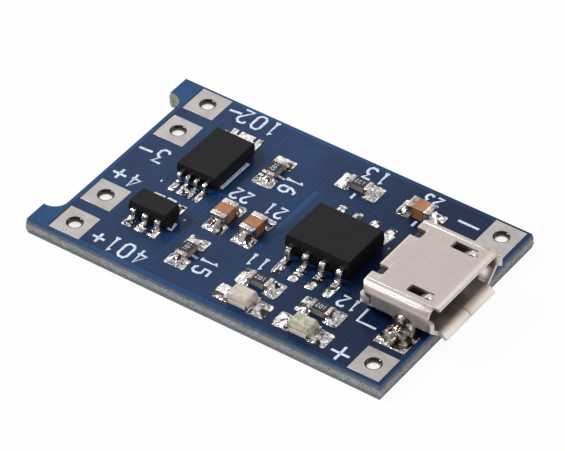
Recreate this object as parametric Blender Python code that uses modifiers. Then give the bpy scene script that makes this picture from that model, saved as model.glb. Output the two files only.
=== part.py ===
# Charger module for one lithium cell: a small circuit board that carries a
# micro-USB socket, a charger chip, a protection chip, a pair of transistors in
# one package, two indicator lamps, chip resistors and chip capacitors, and six
# plated terminals for wires.
#
# X runs along the board from the output end to the socket end, Y across it and
# Z up. The origin is the middle of the board's underside.

import math

import bmesh
import bpy
from mathutils import Matrix
from mathutils import Vector

MM = 0.001

# Board. Its four edges are snapped along scored grooves, and the output end is
# routed back between two ears.
BOARD_LENGTH = 27.0 * MM
BOARD_WIDTH = 17.2 * MM
BOARD_THICKNESS = 1.2 * MM
SCORE_DEPTH = 0.4 * MM
SCORE_BEVEL = 0.13 * MM
ROUTER_RADIUS = 1.0 * MM
ROUTED_DEPTH = 1.3 * MM
EAR_WIDTH = 1.84 * MM

# Gap left between two solids that touch.
SEAT_GAP = 0.01 * MM

# Plated terminals: a square land on each face, joined by a drilled barrel.
TERMINAL_LENGTH = 2.3 * MM
TERMINAL_WIDTH = 2.35 * MM
TERMINAL_DRILL = 1.2 * MM
TERMINAL_BARREL_WALL = 0.06 * MM
TERMINAL_LAND_THICKNESS = 0.06 * MM
TERMINAL_LAND_RISE = 0.02 * MM
TERMINAL_FROM_SLOT = 1.55 * MM
TERMINAL_SIDE_INSET = 1.49 * MM
TERMINAL_PITCH = 3.24 * MM
INPUT_END_INSET = 1.52 * MM
GROUND_LAND_LENGTH = 4.8 * MM
HOLE_SIDES = 20

# Solder lands on the top face and the solder that rises from them.
LAND_RISE = 0.05 * MM
LAND_SINK = 0.03 * MM

# Charger chip: eight gull-wing leads at 1.27 mm.
CHARGER_LENGTH = 4.9 * MM
CHARGER_WIDTH = 3.9 * MM
CHARGER_HEIGHT = 1.41 * MM
CHARGER_STANDOFF = 0.14 * MM
CHARGER_SPAN = 6.0 * MM
CHARGER_PITCH = 1.27 * MM
CHARGER_LEAD_WIDTH = 0.42 * MM
CHARGER_LEAD_THICKNESS = 0.2 * MM
CHARGER_FOOT = 0.62 * MM
CHARGER_LAND_SPAN = 7.76 * MM
CHARGER_LAND_LENGTH = 1.75 * MM
CHARGER_LAND_WIDTH = 0.62 * MM
CHARGER_BEND = 0.17 * MM
BEAD_MARGIN = 0.035 * MM
BEAD_WIDTH = 0.53 * MM
BEAD_HEIGHT = 0.18 * MM
LAND_ROUNDING = 0.28 * MM

# Twin transistors: eight leads at 0.65 mm.
SWITCH_LENGTH = 3.0 * MM
SWITCH_WIDTH = 4.4 * MM
SWITCH_HEIGHT = 0.95 * MM
SWITCH_STANDOFF = 0.08 * MM
SWITCH_SPAN = 6.4 * MM
SWITCH_PITCH = 0.65 * MM
SWITCH_LEAD_WIDTH = 0.26 * MM
SWITCH_LEAD_THICKNESS = 0.14 * MM
SWITCH_FOOT = 0.5 * MM
SWITCH_LAND_SPAN = 7.34 * MM
SWITCH_LAND_LENGTH = 1.15 * MM
SWITCH_LAND_WIDTH = 0.42 * MM

# Protection chip: six leads at 0.95 mm.
GUARD_LENGTH = 2.9 * MM
GUARD_WIDTH = 1.6 * MM
GUARD_HEIGHT = 1.05 * MM
GUARD_STANDOFF = 0.08 * MM
GUARD_SPAN = 2.8 * MM
GUARD_PITCH = 0.95 * MM
GUARD_LEAD_WIDTH = 0.4 * MM
GUARD_LEAD_THICKNESS = 0.15 * MM
GUARD_FOOT = 0.38 * MM
GUARD_LAND_SPAN = 3.6 * MM
GUARD_LAND_LENGTH = 1.0 * MM
GUARD_LAND_WIDTH = 0.66 * MM

# Moulded chip bodies.
MOULD_DRAFT = 0.13
MOULD_EDGE = 0.04 * MM
LEAD_ENTRY = 0.15 * MM
FINE_LEAD_BEND = 0.1 * MM
LEAD_LEAN = 0.12
TOE_SOLDER_RISE = 0.13 * MM

# Chip resistors and capacitors, and the lands that they share.
CHIP_LENGTH = 1.6 * MM
CHIP_WIDTH = 0.82 * MM
RESISTOR_HEIGHT = 0.45 * MM
CAPACITOR_LENGTH = 1.7 * MM
CAPACITOR_WIDTH = 1.05 * MM
CAPACITOR_HEIGHT = 0.85 * MM
CHIP_TERMINATION = 0.3 * MM
CHIP_STEP = 0.02 * MM
CHIP_EDGE = 0.04 * MM
CHIP_LAND_SPAN = 3.1 * MM
CHIP_LAND_LENGTH = 1.0 * MM
CHIP_LAND_WIDTH = 1.48 * MM
CHIP_BEVEL_ANGLE = 80

# Indicator lamps.
LAMP_LENGTH = 2.0 * MM
LAMP_WIDTH = 1.25 * MM
LAMP_BASE_HEIGHT = 0.28 * MM
LAMP_LENS_LENGTH = 1.4 * MM
LAMP_LENS_HEIGHT = 0.5 * MM
LAMP_LENS_TAPER = 0.08 * MM
LAMP_LAND_SPAN = 3.97 * MM
LAMP_LAND_LENGTH = 1.3 * MM
LAMP_LAND_WIDTH = 1.38 * MM
LAMP_SCALLOP_RADIUS = 0.27 * MM
LAMP_LENS_EDGE = 0.08 * MM

# Solder fillets, as shares of the end that they climb and of the land before it.
SOLDER_CLIMB = 0.8
SOLDER_WAIST = 0.3
SOLDER_WAIST_SPREAD = 0.5
SOLDER_CREST_SPREAD = 0.15
MOUND_SIDES = 12
MOUND_RINGS = 8

# Micro-USB socket. The shell is one folded sheet: a wide roof, upright sides,
# sloping lower sides, and a floor of two halves that meet at a seam.
SOCKET_REAR_INSET = 4.8 * MM
SHEET_THICKNESS = 0.25 * MM
SHELL_WIDTH = 7.6 * MM
SHELL_HEIGHT = 2.47 * MM
SHELL_FLOOR_WIDTH = 5.5 * MM
SHELL_FLOOR_GAP = 0.03 * MM
SHELL_KNEE_HEIGHT = 1.0 * MM
SHELL_BODY_LENGTH = 4.9 * MM
SHELL_SEAM = 0.05 * MM
ROOF_BEND = 0.3 * MM
LOWER_BEND = 0.28 * MM
ROOF_LIP_LENGTH = 0.45 * MM
ROOF_LIP_FLARE = 0.3
SIDE_LIP_LENGTH = 0.5 * MM
SIDE_LIP_FLARE = 0.85
FLOOR_LIP_LENGTH = 0.82 * MM
FLOOR_LIP_FLARE = 0.95
SLOPE_LIP_LENGTH = 0.2 * MM
SLOPE_LIP_START = 0.03 * MM
EAR_LENGTH = 0.8 * MM
EAR_SLIT = 0.12 * MM
EAR_DROP = 0.2 * MM
EAR_SETBACK = 0.22 * MM
EAR_CURL = 0.22 * MM
EAR_CURL_RADIUS = 0.2 * MM
EAR_RETURN = 0.44 * MM
TAB_START = 2.45 * MM
TAB_WIDTH = 1.5 * MM
TAB_REACH = 4.7 * MM
TAB_BEND = 0.28 * MM
NOTCH_CENTRE = 2.06 * MM
NOTCH_WIDTH = 0.82 * MM
NOTCH_DEPTH = 0.72 * MM
NOTCH_CORNER = 0.16 * MM
WINDOW_START = 2.65 * MM
WINDOW_LENGTH = 1.7 * MM
WINDOW_WIDTH = 0.66 * MM
WINDOW_CENTRE = 2.43 * MM
CATCH_LENGTH = 0.75 * MM
CATCH_WIDTH = 0.46 * MM
CATCH_DROP = 0.3 * MM
CATCH_THICKNESS = 0.2 * MM
CATCH_ROOT = 0.15 * MM

# Plastic core and spring contacts of the socket.
CORE_REAR_INSET = 0.5 * MM
CORE_LENGTH = 1.1 * MM
CORE_FIT = 0.02 * MM
TONGUE_LENGTH = 3.0 * MM
TONGUE_WIDTH = 3.7 * MM
TONGUE_THICKNESS = 0.55 * MM
TONGUE_HEIGHT = 1.62 * MM
CONTACT_COUNT = 5
CONTACT_PITCH = 0.65 * MM
CONTACT_WIDTH = 0.27 * MM
CONTACT_THICKNESS = 0.12 * MM
CONTACT_BEND = 0.16 * MM
CONTACT_TAIL_SETBACK = 0.24 * MM
CONTACT_TAIL_REACH = 0.9 * MM
CONTACT_TIP_INSET = 0.15 * MM
CONTACT_SLOT_RUNOUT = 0.06 * MM
TAIL_LAND_LENGTH = 1.0 * MM
TAIL_LAND_WIDTH = 0.4 * MM
TAIL_TOE_SOLDER = 0.3 * MM
SHELL_LAND_LENGTH = 2.26 * MM
SHELL_LAND_WIDTH = 1.75 * MM
SHELL_LAND_Y = 4.52 * MM
JOINT_LENGTH = 1.9 * MM
JOINT_WIDTH = 1.36 * MM
JOINT_HEIGHT = 0.9 * MM

# Layout along the board: where a component's middle lies, as a share of the
# board's length from its middle. Each lamp stands beside its resistor.
CHARGER_X = 0.1563
SWITCH_X = -0.2463
GUARD_X = -0.2574
LAMP_X = 0.0822
LAMP_PITCH = 4.54 * MM
CURRENT_RESISTOR_X = 0.0778
INPUT_CAPACITOR_X = 0.2496
COLUMN_X = -0.1185
BATTERY_CAPACITOR_X = -0.0356

# Layout across the board: the share of the free width that lies before each row
# of a stack, counted from the stack's near end.
NEAR_ROWS = (0.44, 0.28)
FAR_ROWS = (0.404,)
OUTPUT_STACK = (0.49, 0.1185)
COLUMN_STACK = (0.215, 0.11, 0.292)

BOARD_TOP = BOARD_THICKNESS
OUTPUT_END = -BOARD_LENGTH / 2
SOCKET_END = BOARD_LENGTH / 2
NEAR_SIDE = -BOARD_WIDTH / 2
FAR_SIDE = BOARD_WIDTH / 2
PART_SEAT = LAND_RISE + SEAT_GAP
ARC_STEPS = 3
SMOOTH_BELOW = math.radians(40)
BACKWARD = math.pi
CROSSWISE = math.pi / 2


def share_out(low, high, sizes, shares):
    """The middles of rows stacked between two lines, with the free width shared out between them."""
    free = high - low - sum(sizes)
    middles = []
    edge = low
    for size, share in zip(sizes, shares):
        edge += free * share
        middles.append(edge + size / 2)
        edge += size
    return middles


lamp_y, lamp_resistor_y = share_out(NEAR_SIDE, -CHARGER_LAND_SPAN / 2,
                                    (LAMP_LAND_WIDTH, CHIP_LAND_WIDTH), NEAR_ROWS)
far_row_y, = share_out(CHARGER_LAND_SPAN / 2, FAR_SIDE, (CHIP_LAND_WIDTH,), FAR_ROWS)
guard_y, switch_y = share_out(NEAR_SIDE, FAR_SIDE, (GUARD_LAND_SPAN, SWITCH_LAND_SPAN), OUTPUT_STACK)
supply_resistor_y, capacitor_y, sense_resistor_y = share_out(
    NEAR_SIDE, FAR_SIDE, (CHIP_LAND_SPAN, CHIP_LAND_SPAN, CHIP_LAND_SPAN), COLUMN_STACK)

# Scene set-up

for old_object in list(bpy.data.objects):
    bpy.data.objects.remove(old_object, do_unlink=True)

parts = bpy.data.collections.new("battery_charger_module")
bpy.context.scene.collection.children.link(parts)
cutters = bpy.data.collections.new("cutters")
bpy.context.scene.collection.children.link(cutters)


def surface(name, colour, roughness, metallic):
    """A plain Principled material."""
    material = bpy.data.materials.new(name)
    material.use_nodes = True
    shader = material.node_tree.nodes["Principled BSDF"]
    shader.inputs["Base Color"].default_value = (*colour, 1.0)
    shader.inputs["Roughness"].default_value = roughness
    shader.inputs["Metallic"].default_value = metallic
    return material


def place(name, mesh, material, parent=None, location=(0, 0, 0), turn=0.0):
    """A named part that shows a mesh at a place under its parent."""
    part = bpy.data.objects.new(name, mesh)
    parts.objects.link(part)
    part.data.materials.clear()
    part.data.materials.append(material)
    part.data.shade_smooth()
    part.data.set_sharp_from_angle(angle=SMOOTH_BELOW)
    part.parent = parent
    part.location = location
    part.rotation_euler = (0, 0, turn)
    return part


def place_cutter(name, mesh, parent=None, location=(0, 0, 0), turn=0.0):
    """A helper body that only cuts or joins another one."""
    cutter = bpy.data.objects.new(name, mesh)
    cutters.objects.link(cutter)
    cutter.parent = parent
    cutter.location = location
    cutter.rotation_euler = (0, 0, turn)
    cutter.hide_render = True
    cutter.display_type = "WIRE"
    return cutter


def place_anchor(name, location, turn=0.0):
    """An empty that holds the pieces of one component at its seat."""
    anchor = bpy.data.objects.new(name, None)
    parts.objects.link(anchor)
    anchor.location = location
    anchor.rotation_euler = (0, 0, turn)
    return anchor


def combine(part, other, operation):
    """Cut a part with another body, or join that body to it."""
    step = part.modifiers.new(operation.lower() + "_" + other.name, "BOOLEAN")
    step.operation = operation
    step.solver = "EXACT"
    step.object = other


def thicken(part, thickness):
    """Give an open surface its wall, half to each side."""
    wall = part.modifiers.new("wall", "SOLIDIFY")
    wall.thickness = thickness
    wall.offset = 0.0
    wall.use_even_offset = True


def mesh_from(bm, name):
    """Turn an edit mesh into a mesh."""
    mesh = bpy.data.meshes.new(name)
    bm.to_mesh(mesh)
    bm.free()
    return mesh


def add_box(bm, low, high):
    """Add a box between two corners."""
    low = Vector(low)
    high = Vector(high)
    size = high - low
    spot = Matrix.Translation((low + high) / 2) @ Matrix.Diagonal((*size, 1.0))
    return bmesh.ops.create_cube(bm, size=1.0, matrix=spot)["verts"]


def add_cylinder(bm, radius, low, high, x=0.0, y=0.0, sides=HOLE_SIDES):
    """Add an upright cylinder between two heights."""
    bmesh.ops.create_cone(bm, cap_ends=True, segments=sides, radius1=radius, radius2=radius,
                          depth=high - low, matrix=Matrix.Translation((x, y, (low + high) / 2)))


def add_rounded_box(bm, low, high, corner):
    """Add a box whose upright edges are rounded."""
    verts = add_box(bm, low, high)
    upright = set()
    for vert in verts:
        for edge in vert.link_edges:
            ends = edge.verts
            if abs(ends[0].co.z - ends[1].co.z) > abs(high[2] - low[2]) / 2:
                upright.add(edge)
    bmesh.ops.bevel(bm, geom=list(upright), offset=corner, segments=ARC_STEPS,
                    profile=0.5, affect="EDGES")


def rounded_path(corners, radii, steps=ARC_STEPS):
    """A line through corner points with an arc at each inner corner."""
    corners = [Vector(corner) for corner in corners]
    path = [corners[0]]
    for before, corner, after, radius in zip(corners, corners[1:], corners[2:], radii):
        back = (before - corner).normalized()
        ahead = (after - corner).normalized()
        half_angle = back.angle(ahead) / 2
        middle = (back + ahead).normalized()
        centre = corner + middle * radius / math.sin(half_angle)
        reach = radius / math.tan(half_angle)
        first = corner + back * reach - centre
        last = corner + ahead * reach - centre
        sweep = first.angle(last)
        for step in range(steps + 1):
            share = step / steps
            arm = first * math.sin((1 - share) * sweep) + last * math.sin(share * sweep)
            path.append(centre + arm / math.sin(sweep))
    path.append(corners[-1])
    return path


def extrude_along(bm, edges, offsets):
    """Draw edges out through a row of offsets and return the last edges."""
    for offset in offsets:
        drawn = bmesh.ops.extrude_edge_only(bm, edges=edges)["geom"]
        verts = [item for item in drawn if isinstance(item, bmesh.types.BMVert)]
        edges = [item for item in drawn if isinstance(item, bmesh.types.BMEdge)]
        bmesh.ops.translate(bm, verts=verts, vec=offset)
    return edges


def strip_mesh(name, path, width):
    """A bent ribbon: a line in X and Z, drawn out to its width along Y."""
    bm = bmesh.new()
    verts = [bm.verts.new((point[0], -width / 2, point[1])) for point in path]
    line = [bm.edges.new(pair) for pair in zip(verts, verts[1:])]
    extrude_along(bm, line, [(0, width, 0)])
    return mesh_from(bm, name)


# Materials

laminate = surface("masked_laminate", (0.02, 0.06, 0.15), 0.35, 0.0)
tinned_copper = surface("tinned_copper", (0.68, 0.65, 0.64), 0.35, 1.0)
black_epoxy = surface("black_epoxy", (0.022, 0.021, 0.021), 0.5, 0.0)
tinned_lead = surface("tinned_lead", (0.72, 0.72, 0.72), 0.3, 1.0)
ceramic = surface("brown_ceramic", (0.48, 0.23, 0.09), 0.5, 0.0)
resistor_coat = surface("black_glaze", (0.02, 0.02, 0.022), 0.35, 0.0)
lamp_base = surface("white_laminate", (0.72, 0.7, 0.62), 0.5, 0.0)
lamp_resin = surface("clear_resin", (0.75, 0.76, 0.66), 0.25, 0.0)
nickel_plate = surface("nickel_plate", (0.6, 0.56, 0.52), 0.3, 1.0)
black_plastic = surface("black_nylon", (0.03, 0.029, 0.028), 0.5, 0.0)
gold_plate = surface("gold_plate", (0.75, 0.55, 0.2), 0.25, 1.0)

# Solder lands. Each component makes its own lands, and the board takes them all
# at the end, because tinned copper is part of the board.

board_additions = []


def add_to_board(name, bm):
    """Keep a component's lands or solder for the board."""
    board_additions.append(place_cutter(name, mesh_from(bm, name)))


def add_land(bm, seat, inner, toe, outer, width, top_width, rise):
    """A land from inner to outer along the seat's X, whose solder climbs towards the toe."""
    grid = bmesh.ops.create_grid(bm, x_segments=2, y_segments=1, size=0.5)
    verts = grid["verts"]
    columns = (inner, toe, outer)
    for vert in verts:
        column = round(vert.co.x * 2) + 1
        vert.co = Vector((columns[column], vert.co.y * width, -LAND_SINK))
    base = list({face for vert in verts for face in vert.link_faces})
    raised = bmesh.ops.extrude_face_region(bm, geom=base)["geom"]
    top_verts = [item for item in raised if isinstance(item, bmesh.types.BMVert)]
    top_faces = [item for item in raised if isinstance(item, bmesh.types.BMFace)]
    bmesh.ops.translate(bm, verts=top_verts, vec=(0, 0, LAND_SINK + LAND_RISE))
    bmesh.ops.reverse_faces(bm, faces=base)
    everything = set(verts) | set(top_verts)
    middle = (toe + outer) / 2
    slope = [face for face in top_faces if face.calc_center_median().x > toe]
    levels = ((SOLDER_WAIST, SOLDER_WAIST_SPREAD, (width + top_width) / 2),
              (1.0, SOLDER_CREST_SPREAD, top_width))
    for climb, spread, level_width in levels:
        drawn = bmesh.ops.extrude_discrete_faces(bm, faces=slope)
        slope = drawn["faces"]
        for vert in slope[0].verts:
            lip = toe if vert.co.x < middle else toe + (outer - toe) * spread
            side = math.copysign(level_width / 2, vert.co.y)
            vert.co = Vector((lip, side, LAND_RISE + (rise - LAND_RISE) * climb))
            everything.add(vert)
        middle = toe + (outer - toe) * spread / 2
    bmesh.ops.transform(bm, verts=list(everything), matrix=seat)


def add_round_land(bm, seat, inner, outer, width):
    """A land with a round outer end."""
    verts = add_box(bm, (inner, -width / 2, -LAND_SINK), (outer, width / 2, LAND_RISE))
    upright = set()
    for vert in verts:
        for edge in vert.link_edges:
            ends = edge.verts
            if ends[0].co.x > (inner + outer) / 2 and (ends[0].co.xy - ends[1].co.xy).length < SEAT_GAP:
                upright.add(edge)
    rounding = bmesh.ops.bevel(bm, geom=list(upright), offset=LAND_ROUNDING,
                               segments=ARC_STEPS, profile=0.5, affect="EDGES")
    everything = {vert for vert in verts if vert.is_valid} | set(rounding["verts"])
    bmesh.ops.transform(bm, verts=list(everything), matrix=seat)


def add_mound(bm, centre, size, floor):
    """A rounded mound of solder, flat on its crest and cut off flat at its floor."""
    shape = Matrix.Translation(centre) @ Matrix.Diagonal((size[0] / 2, size[1] / 2, size[2], 1.0))
    verts = bmesh.ops.create_uvsphere(bm, u_segments=MOUND_SIDES, v_segments=MOUND_RINGS, radius=1.0,
                                      matrix=shape)["verts"]
    crest = centre[2] + size[2] * math.cos(math.pi / MOUND_RINGS)
    for vert in verts:
        vert.co.z = min(vert.co.z, crest)
    faces = list({face for vert in verts for face in vert.link_faces})
    edges = list({edge for vert in verts for edge in vert.link_edges})
    cut = bmesh.ops.bisect_plane(bm, geom=verts + edges + faces, plane_co=(0, 0, floor),
                                 plane_no=(0, 0, 1), dist=SEAT_GAP / 100, clear_inner=True)
    rim = [item for item in cut["geom_cut"] if isinstance(item, bmesh.types.BMEdge)]
    bmesh.ops.edgeloop_fill(bm, edges=rim)


def seat_matrix(x, y, turn):
    """Where a component's own X and Y lie on the board's top face."""
    return Matrix.Translation((x, y, BOARD_TOP)) @ Matrix.Rotation(turn, 4, "Z")


# Chips in moulded packages with gull-wing leads


def moulded_body(name, length, width, low, parting, high):
    """A block that tapers both ways from its parting line."""
    bm = bmesh.new()
    sheet = bmesh.ops.create_grid(bm, x_segments=1, y_segments=1, size=0.5)["verts"]
    bmesh.ops.scale(bm, vec=(length, width, 1.0), verts=sheet)
    bmesh.ops.translate(bm, vec=(0, 0, parting), verts=sheet)
    middle = bm.faces[:]
    upper = bmesh.ops.extrude_face_region(bm, geom=middle, use_keep_orig=True)["geom"]
    lower = bmesh.ops.extrude_face_region(bm, geom=middle)["geom"]
    for drawn, level in ((upper, high), (lower, low)):
        verts = [item for item in drawn if isinstance(item, bmesh.types.BMVert)]
        inset = abs(level - parting) * MOULD_DRAFT
        for vert in verts:
            vert.co.x -= math.copysign(inset, vert.co.x)
            vert.co.y -= math.copysign(inset, vert.co.y)
            vert.co.z = level
    left_over = [face for face in bm.faces if abs(face.calc_center_median().z - parting) < SEAT_GAP / 10
                 and len(face.verts) == 4 and abs(face.normal.z) > 0.9]
    bmesh.ops.delete(bm, geom=left_over, context="FACES_ONLY")
    bmesh.ops.remove_doubles(bm, verts=bm.verts[:], dist=SEAT_GAP / 10)
    bmesh.ops.recalc_face_normals(bm, faces=bm.faces[:])
    return mesh_from(bm, name)


def gull_wing_path(start, end, shoulder, foot_level, foot, bend):
    """A lead's middle line: out of the body, down, and out again to the toe."""
    heel = end - foot
    knee = heel - (shoulder - foot_level) * LEAD_LEAN
    corners = ((start, shoulder), (knee, shoulder), (heel, foot_level), (end, foot_level))
    return rounded_path(corners, (bend, bend))


def build_package(prefix, count, anchor, size, lead, pitch, span, foot, standoff, bend):
    """One chip: its body, with a pocket for each lead, and its leads."""
    length, width, height = size
    lead_width, lead_thickness = lead
    low = PART_SEAT + standoff
    shoulder = low + height * 0.5
    per_side = count // 2
    body_mesh = moulded_body(prefix + "_body", length, width, low, shoulder, low + height)
    body = place(prefix + "_body", body_mesh, black_epoxy, anchor)
    edge = body.modifiers.new("edge", "BEVEL")
    edge.width = MOULD_EDGE
    edge.segments = 1
    path = gull_wing_path(width / 2 - LEAD_ENTRY, span / 2, shoulder,
                          PART_SEAT + lead_thickness / 2, foot, bend)
    ribbon = strip_mesh(prefix + "_lead", path, lead_width)
    pocket_bm = bmesh.new()
    for side in (-1, 1):
        for index in range(per_side):
            along = (index - (per_side - 1) / 2) * pitch
            number = index + 1 if side < 0 else count - index
            turn = CROSSWISE * side
            leg = place(prefix + "_lead_" + str(number), ribbon.copy(), tinned_lead, anchor,
                        (along, 0, 0), turn)
            thicken(leg, lead_thickness)
            inner = side * (width / 2 - LEAD_ENTRY - SEAT_GAP)
            outer = side * (width / 2 + LEAD_ENTRY)
            half = lead_width / 2 + SEAT_GAP
            depth = lead_thickness / 2 + SEAT_GAP
            add_box(pocket_bm, (along - half, min(inner, outer), shoulder - depth),
                    (along + half, max(inner, outer), shoulder + depth))
    pockets = place_cutter(prefix + "_lead_pockets", mesh_from(pocket_bm, prefix + "_pockets"), anchor)
    combine(body, pockets, "DIFFERENCE")


def package_lands(name, count, x, y, pitch, span, land_span, land_length, land_width, lead_width):
    """The lands of a package, each with solder in front of its toe."""
    bm = bmesh.new()
    per_side = count // 2
    toe = span / 2 + SEAT_GAP
    for side in (-1, 1):
        for index in range(per_side):
            along = x + (index - (per_side - 1) / 2) * pitch
            add_land(bm, seat_matrix(along, y, CROSSWISE * side), land_span / 2 - land_length,
                     toe, land_span / 2, land_width, lead_width, TOE_SOLDER_RISE)
    add_to_board(name, bm)


def build_charger_chip():
    """The charger chip, on lands with round ends and a bead of solder at each toe."""
    x = BOARD_LENGTH * CHARGER_X
    anchor = place_anchor("charger_chip", (x, 0, BOARD_TOP))
    build_package("charger_chip", 8, anchor, (CHARGER_LENGTH, CHARGER_WIDTH, CHARGER_HEIGHT),
                  (CHARGER_LEAD_WIDTH, CHARGER_LEAD_THICKNESS), CHARGER_PITCH, CHARGER_SPAN,
                  CHARGER_FOOT, CHARGER_STANDOFF, CHARGER_BEND)
    outer = CHARGER_LAND_SPAN / 2
    toe = CHARGER_SPAN / 2 + SEAT_GAP
    bead = outer - toe - BEAD_MARGIN * 2
    land_bm = bmesh.new()
    bead_bm = bmesh.new()
    for side in (-1, 1):
        for index in range(4):
            along = x + (index - 1.5) * CHARGER_PITCH
            add_round_land(land_bm, seat_matrix(along, 0, CROSSWISE * side),
                           outer - CHARGER_LAND_LENGTH, outer, CHARGER_LAND_WIDTH)
            add_mound(bead_bm, (along, side * (toe + outer) / 2, BOARD_TOP),
                      (BEAD_WIDTH, bead, BEAD_HEIGHT), BOARD_TOP - LAND_SINK / 2)
    add_to_board("charger_chip_lands", land_bm)
    add_to_board("charger_chip_beads", bead_bm)


def build_switch_chip():
    """The package with the two transistors."""
    x = BOARD_LENGTH * SWITCH_X
    anchor = place_anchor("switch_chip", (x, switch_y, BOARD_TOP))
    build_package("switch_chip", 8, anchor, (SWITCH_LENGTH, SWITCH_WIDTH, SWITCH_HEIGHT),
                  (SWITCH_LEAD_WIDTH, SWITCH_LEAD_THICKNESS), SWITCH_PITCH, SWITCH_SPAN,
                  SWITCH_FOOT, SWITCH_STANDOFF, FINE_LEAD_BEND)
    package_lands("switch_chip_lands", 8, x, switch_y, SWITCH_PITCH, SWITCH_SPAN, SWITCH_LAND_SPAN,
                  SWITCH_LAND_LENGTH, SWITCH_LAND_WIDTH, SWITCH_LEAD_WIDTH)


def build_guard_chip():
    """The protection chip."""
    x = BOARD_LENGTH * GUARD_X
    anchor = place_anchor("guard_chip", (x, guard_y, BOARD_TOP))
    build_package("guard_chip", 6, anchor, (GUARD_LENGTH, GUARD_WIDTH, GUARD_HEIGHT),
                  (GUARD_LEAD_WIDTH, GUARD_LEAD_THICKNESS), GUARD_PITCH, GUARD_SPAN,
                  GUARD_FOOT, GUARD_STANDOFF, FINE_LEAD_BEND)
    package_lands("guard_chip_lands", 6, x, guard_y, GUARD_PITCH, GUARD_SPAN, GUARD_LAND_SPAN,
                  GUARD_LAND_LENGTH, GUARD_LAND_WIDTH, GUARD_LEAD_WIDTH)


# Chip resistors and capacitors


def stepped_chip(name, length, width, height):
    """A block whose two ends stand slightly proud of its middle."""
    bm = bmesh.new()
    add_box(bm, (-length / 2, -width / 2, PART_SEAT), (length / 2, width / 2, PART_SEAT + height))
    shoulder = length / 2 - CHIP_TERMINATION
    for cut in (-shoulder, -shoulder + CHIP_STEP, shoulder - CHIP_STEP, shoulder):
        bmesh.ops.bisect_plane(bm, geom=bm.verts[:] + bm.edges[:] + bm.faces[:],
                               plane_co=(cut, 0, 0), plane_no=(1, 0, 0), dist=CHIP_STEP / 100)
    for vert in bm.verts:
        if abs(vert.co.x) < shoulder - CHIP_STEP / 2:
            vert.co.y -= math.copysign(CHIP_STEP, vert.co.y)
            vert.co.z += CHIP_STEP if vert.co.z < PART_SEAT + height / 2 else -CHIP_STEP
    return mesh_from(bm, name)


def two_lands(name, x, y, turn, length, top_width, height, land_span, land_length, land_width):
    """The two lands of a chip, with the solder that climbs its ends."""
    bm = bmesh.new()
    outer = land_span / 2
    toe = length / 2 + SEAT_GAP
    for flip in (0.0, BACKWARD):
        add_land(bm, seat_matrix(x, y, turn + flip), outer - land_length, toe, outer, land_width,
                 top_width, PART_SEAT + height * SOLDER_CLIMB)
    add_to_board(name, bm)


def build_chip(name, kind, x, y, turn=0.0):
    """One chip resistor or chip capacitor on its lands."""
    if kind == "resistor":
        length, width, height, material = CHIP_LENGTH, CHIP_WIDTH, RESISTOR_HEIGHT, resistor_coat
    else:
        length, width, height, material = CAPACITOR_LENGTH, CAPACITOR_WIDTH, CAPACITOR_HEIGHT, ceramic
    chip = place(name, stepped_chip(name, length, width, height), material, None,
                 (x, y, BOARD_TOP), turn)
    edge = chip.modifiers.new("edge", "BEVEL")
    edge.width = CHIP_EDGE
    edge.segments = 1
    edge.limit_method = "ANGLE"
    edge.angle_limit = math.radians(CHIP_BEVEL_ANGLE)
    two_lands(name + "_lands", x, y, turn, length, width, height, CHIP_LAND_SPAN,
              CHIP_LAND_LENGTH, CHIP_LAND_WIDTH)


# Indicator lamps


def build_lamp(prefix, x, y):
    """A lamp: a flat base with its chip, under a block of clear resin."""
    base_top = PART_SEAT + LAMP_BASE_HEIGHT
    bm = bmesh.new()
    add_box(bm, (-LAMP_LENGTH / 2, -LAMP_WIDTH / 2, PART_SEAT), (LAMP_LENGTH / 2, LAMP_WIDTH / 2, base_top))
    anchor = place_anchor(prefix, (x, y, BOARD_TOP))
    base = place(prefix + "_base", mesh_from(bm, prefix + "_base"), lamp_base, anchor)
    scallop_bm = bmesh.new()
    for end in (-1, 1):
        add_cylinder(scallop_bm, LAMP_SCALLOP_RADIUS, PART_SEAT - SEAT_GAP, base_top + SEAT_GAP,
                     end * LAMP_LENGTH / 2, 0.0, 12)
    scallops = place_cutter(prefix + "_scallops", mesh_from(scallop_bm, prefix + "_scallops"), anchor)
    combine(base, scallops, "DIFFERENCE")
    bm = bmesh.new()
    low = base_top + SEAT_GAP
    high = low + LAMP_LENS_HEIGHT
    add_box(bm, (-LAMP_LENS_LENGTH / 2, -LAMP_WIDTH / 2, low), (LAMP_LENS_LENGTH / 2, LAMP_WIDTH / 2, high))
    for vert in bm.verts:
        if vert.co.z > (low + high) / 2:
            vert.co.x -= math.copysign(LAMP_LENS_TAPER, vert.co.x)
            vert.co.y -= math.copysign(LAMP_LENS_TAPER / 2, vert.co.y)
    lens = place(prefix + "_lens", mesh_from(bm, prefix + "_lens"), lamp_resin, anchor)
    edge = lens.modifiers.new("edge", "BEVEL")
    edge.width = LAMP_LENS_EDGE
    edge.segments = 2
    two_lands(prefix + "_lands", x, y, 0.0, LAMP_LENGTH, LAMP_WIDTH, LAMP_BASE_HEIGHT,
              LAMP_LAND_SPAN, LAMP_LAND_LENGTH, LAMP_LAND_WIDTH)


# Micro-USB socket. Its own frame has X = 0 at the shell's rear edge, and runs
# towards the mouth.

WALL_Y = SHELL_WIDTH / 2 - SHEET_THICKNESS / 2
FLOOR_Y = SHELL_FLOOR_WIDTH / 2
ROOF_Z = SHELL_FLOOR_GAP + SHELL_HEIGHT - SHEET_THICKNESS / 2
FLOOR_Z = SHELL_FLOOR_GAP + SHEET_THICKNESS / 2
KNEE_Z = SHELL_KNEE_HEIGHT
BEND_START_Z = ROOF_Z - ROOF_BEND
EAR_TOP_Z = BEND_START_Z - EAR_DROP
JOINT_Y = SHELL_WIDTH / 2 + SEAT_GAP * 3 + JOINT_WIDTH / 2


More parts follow.
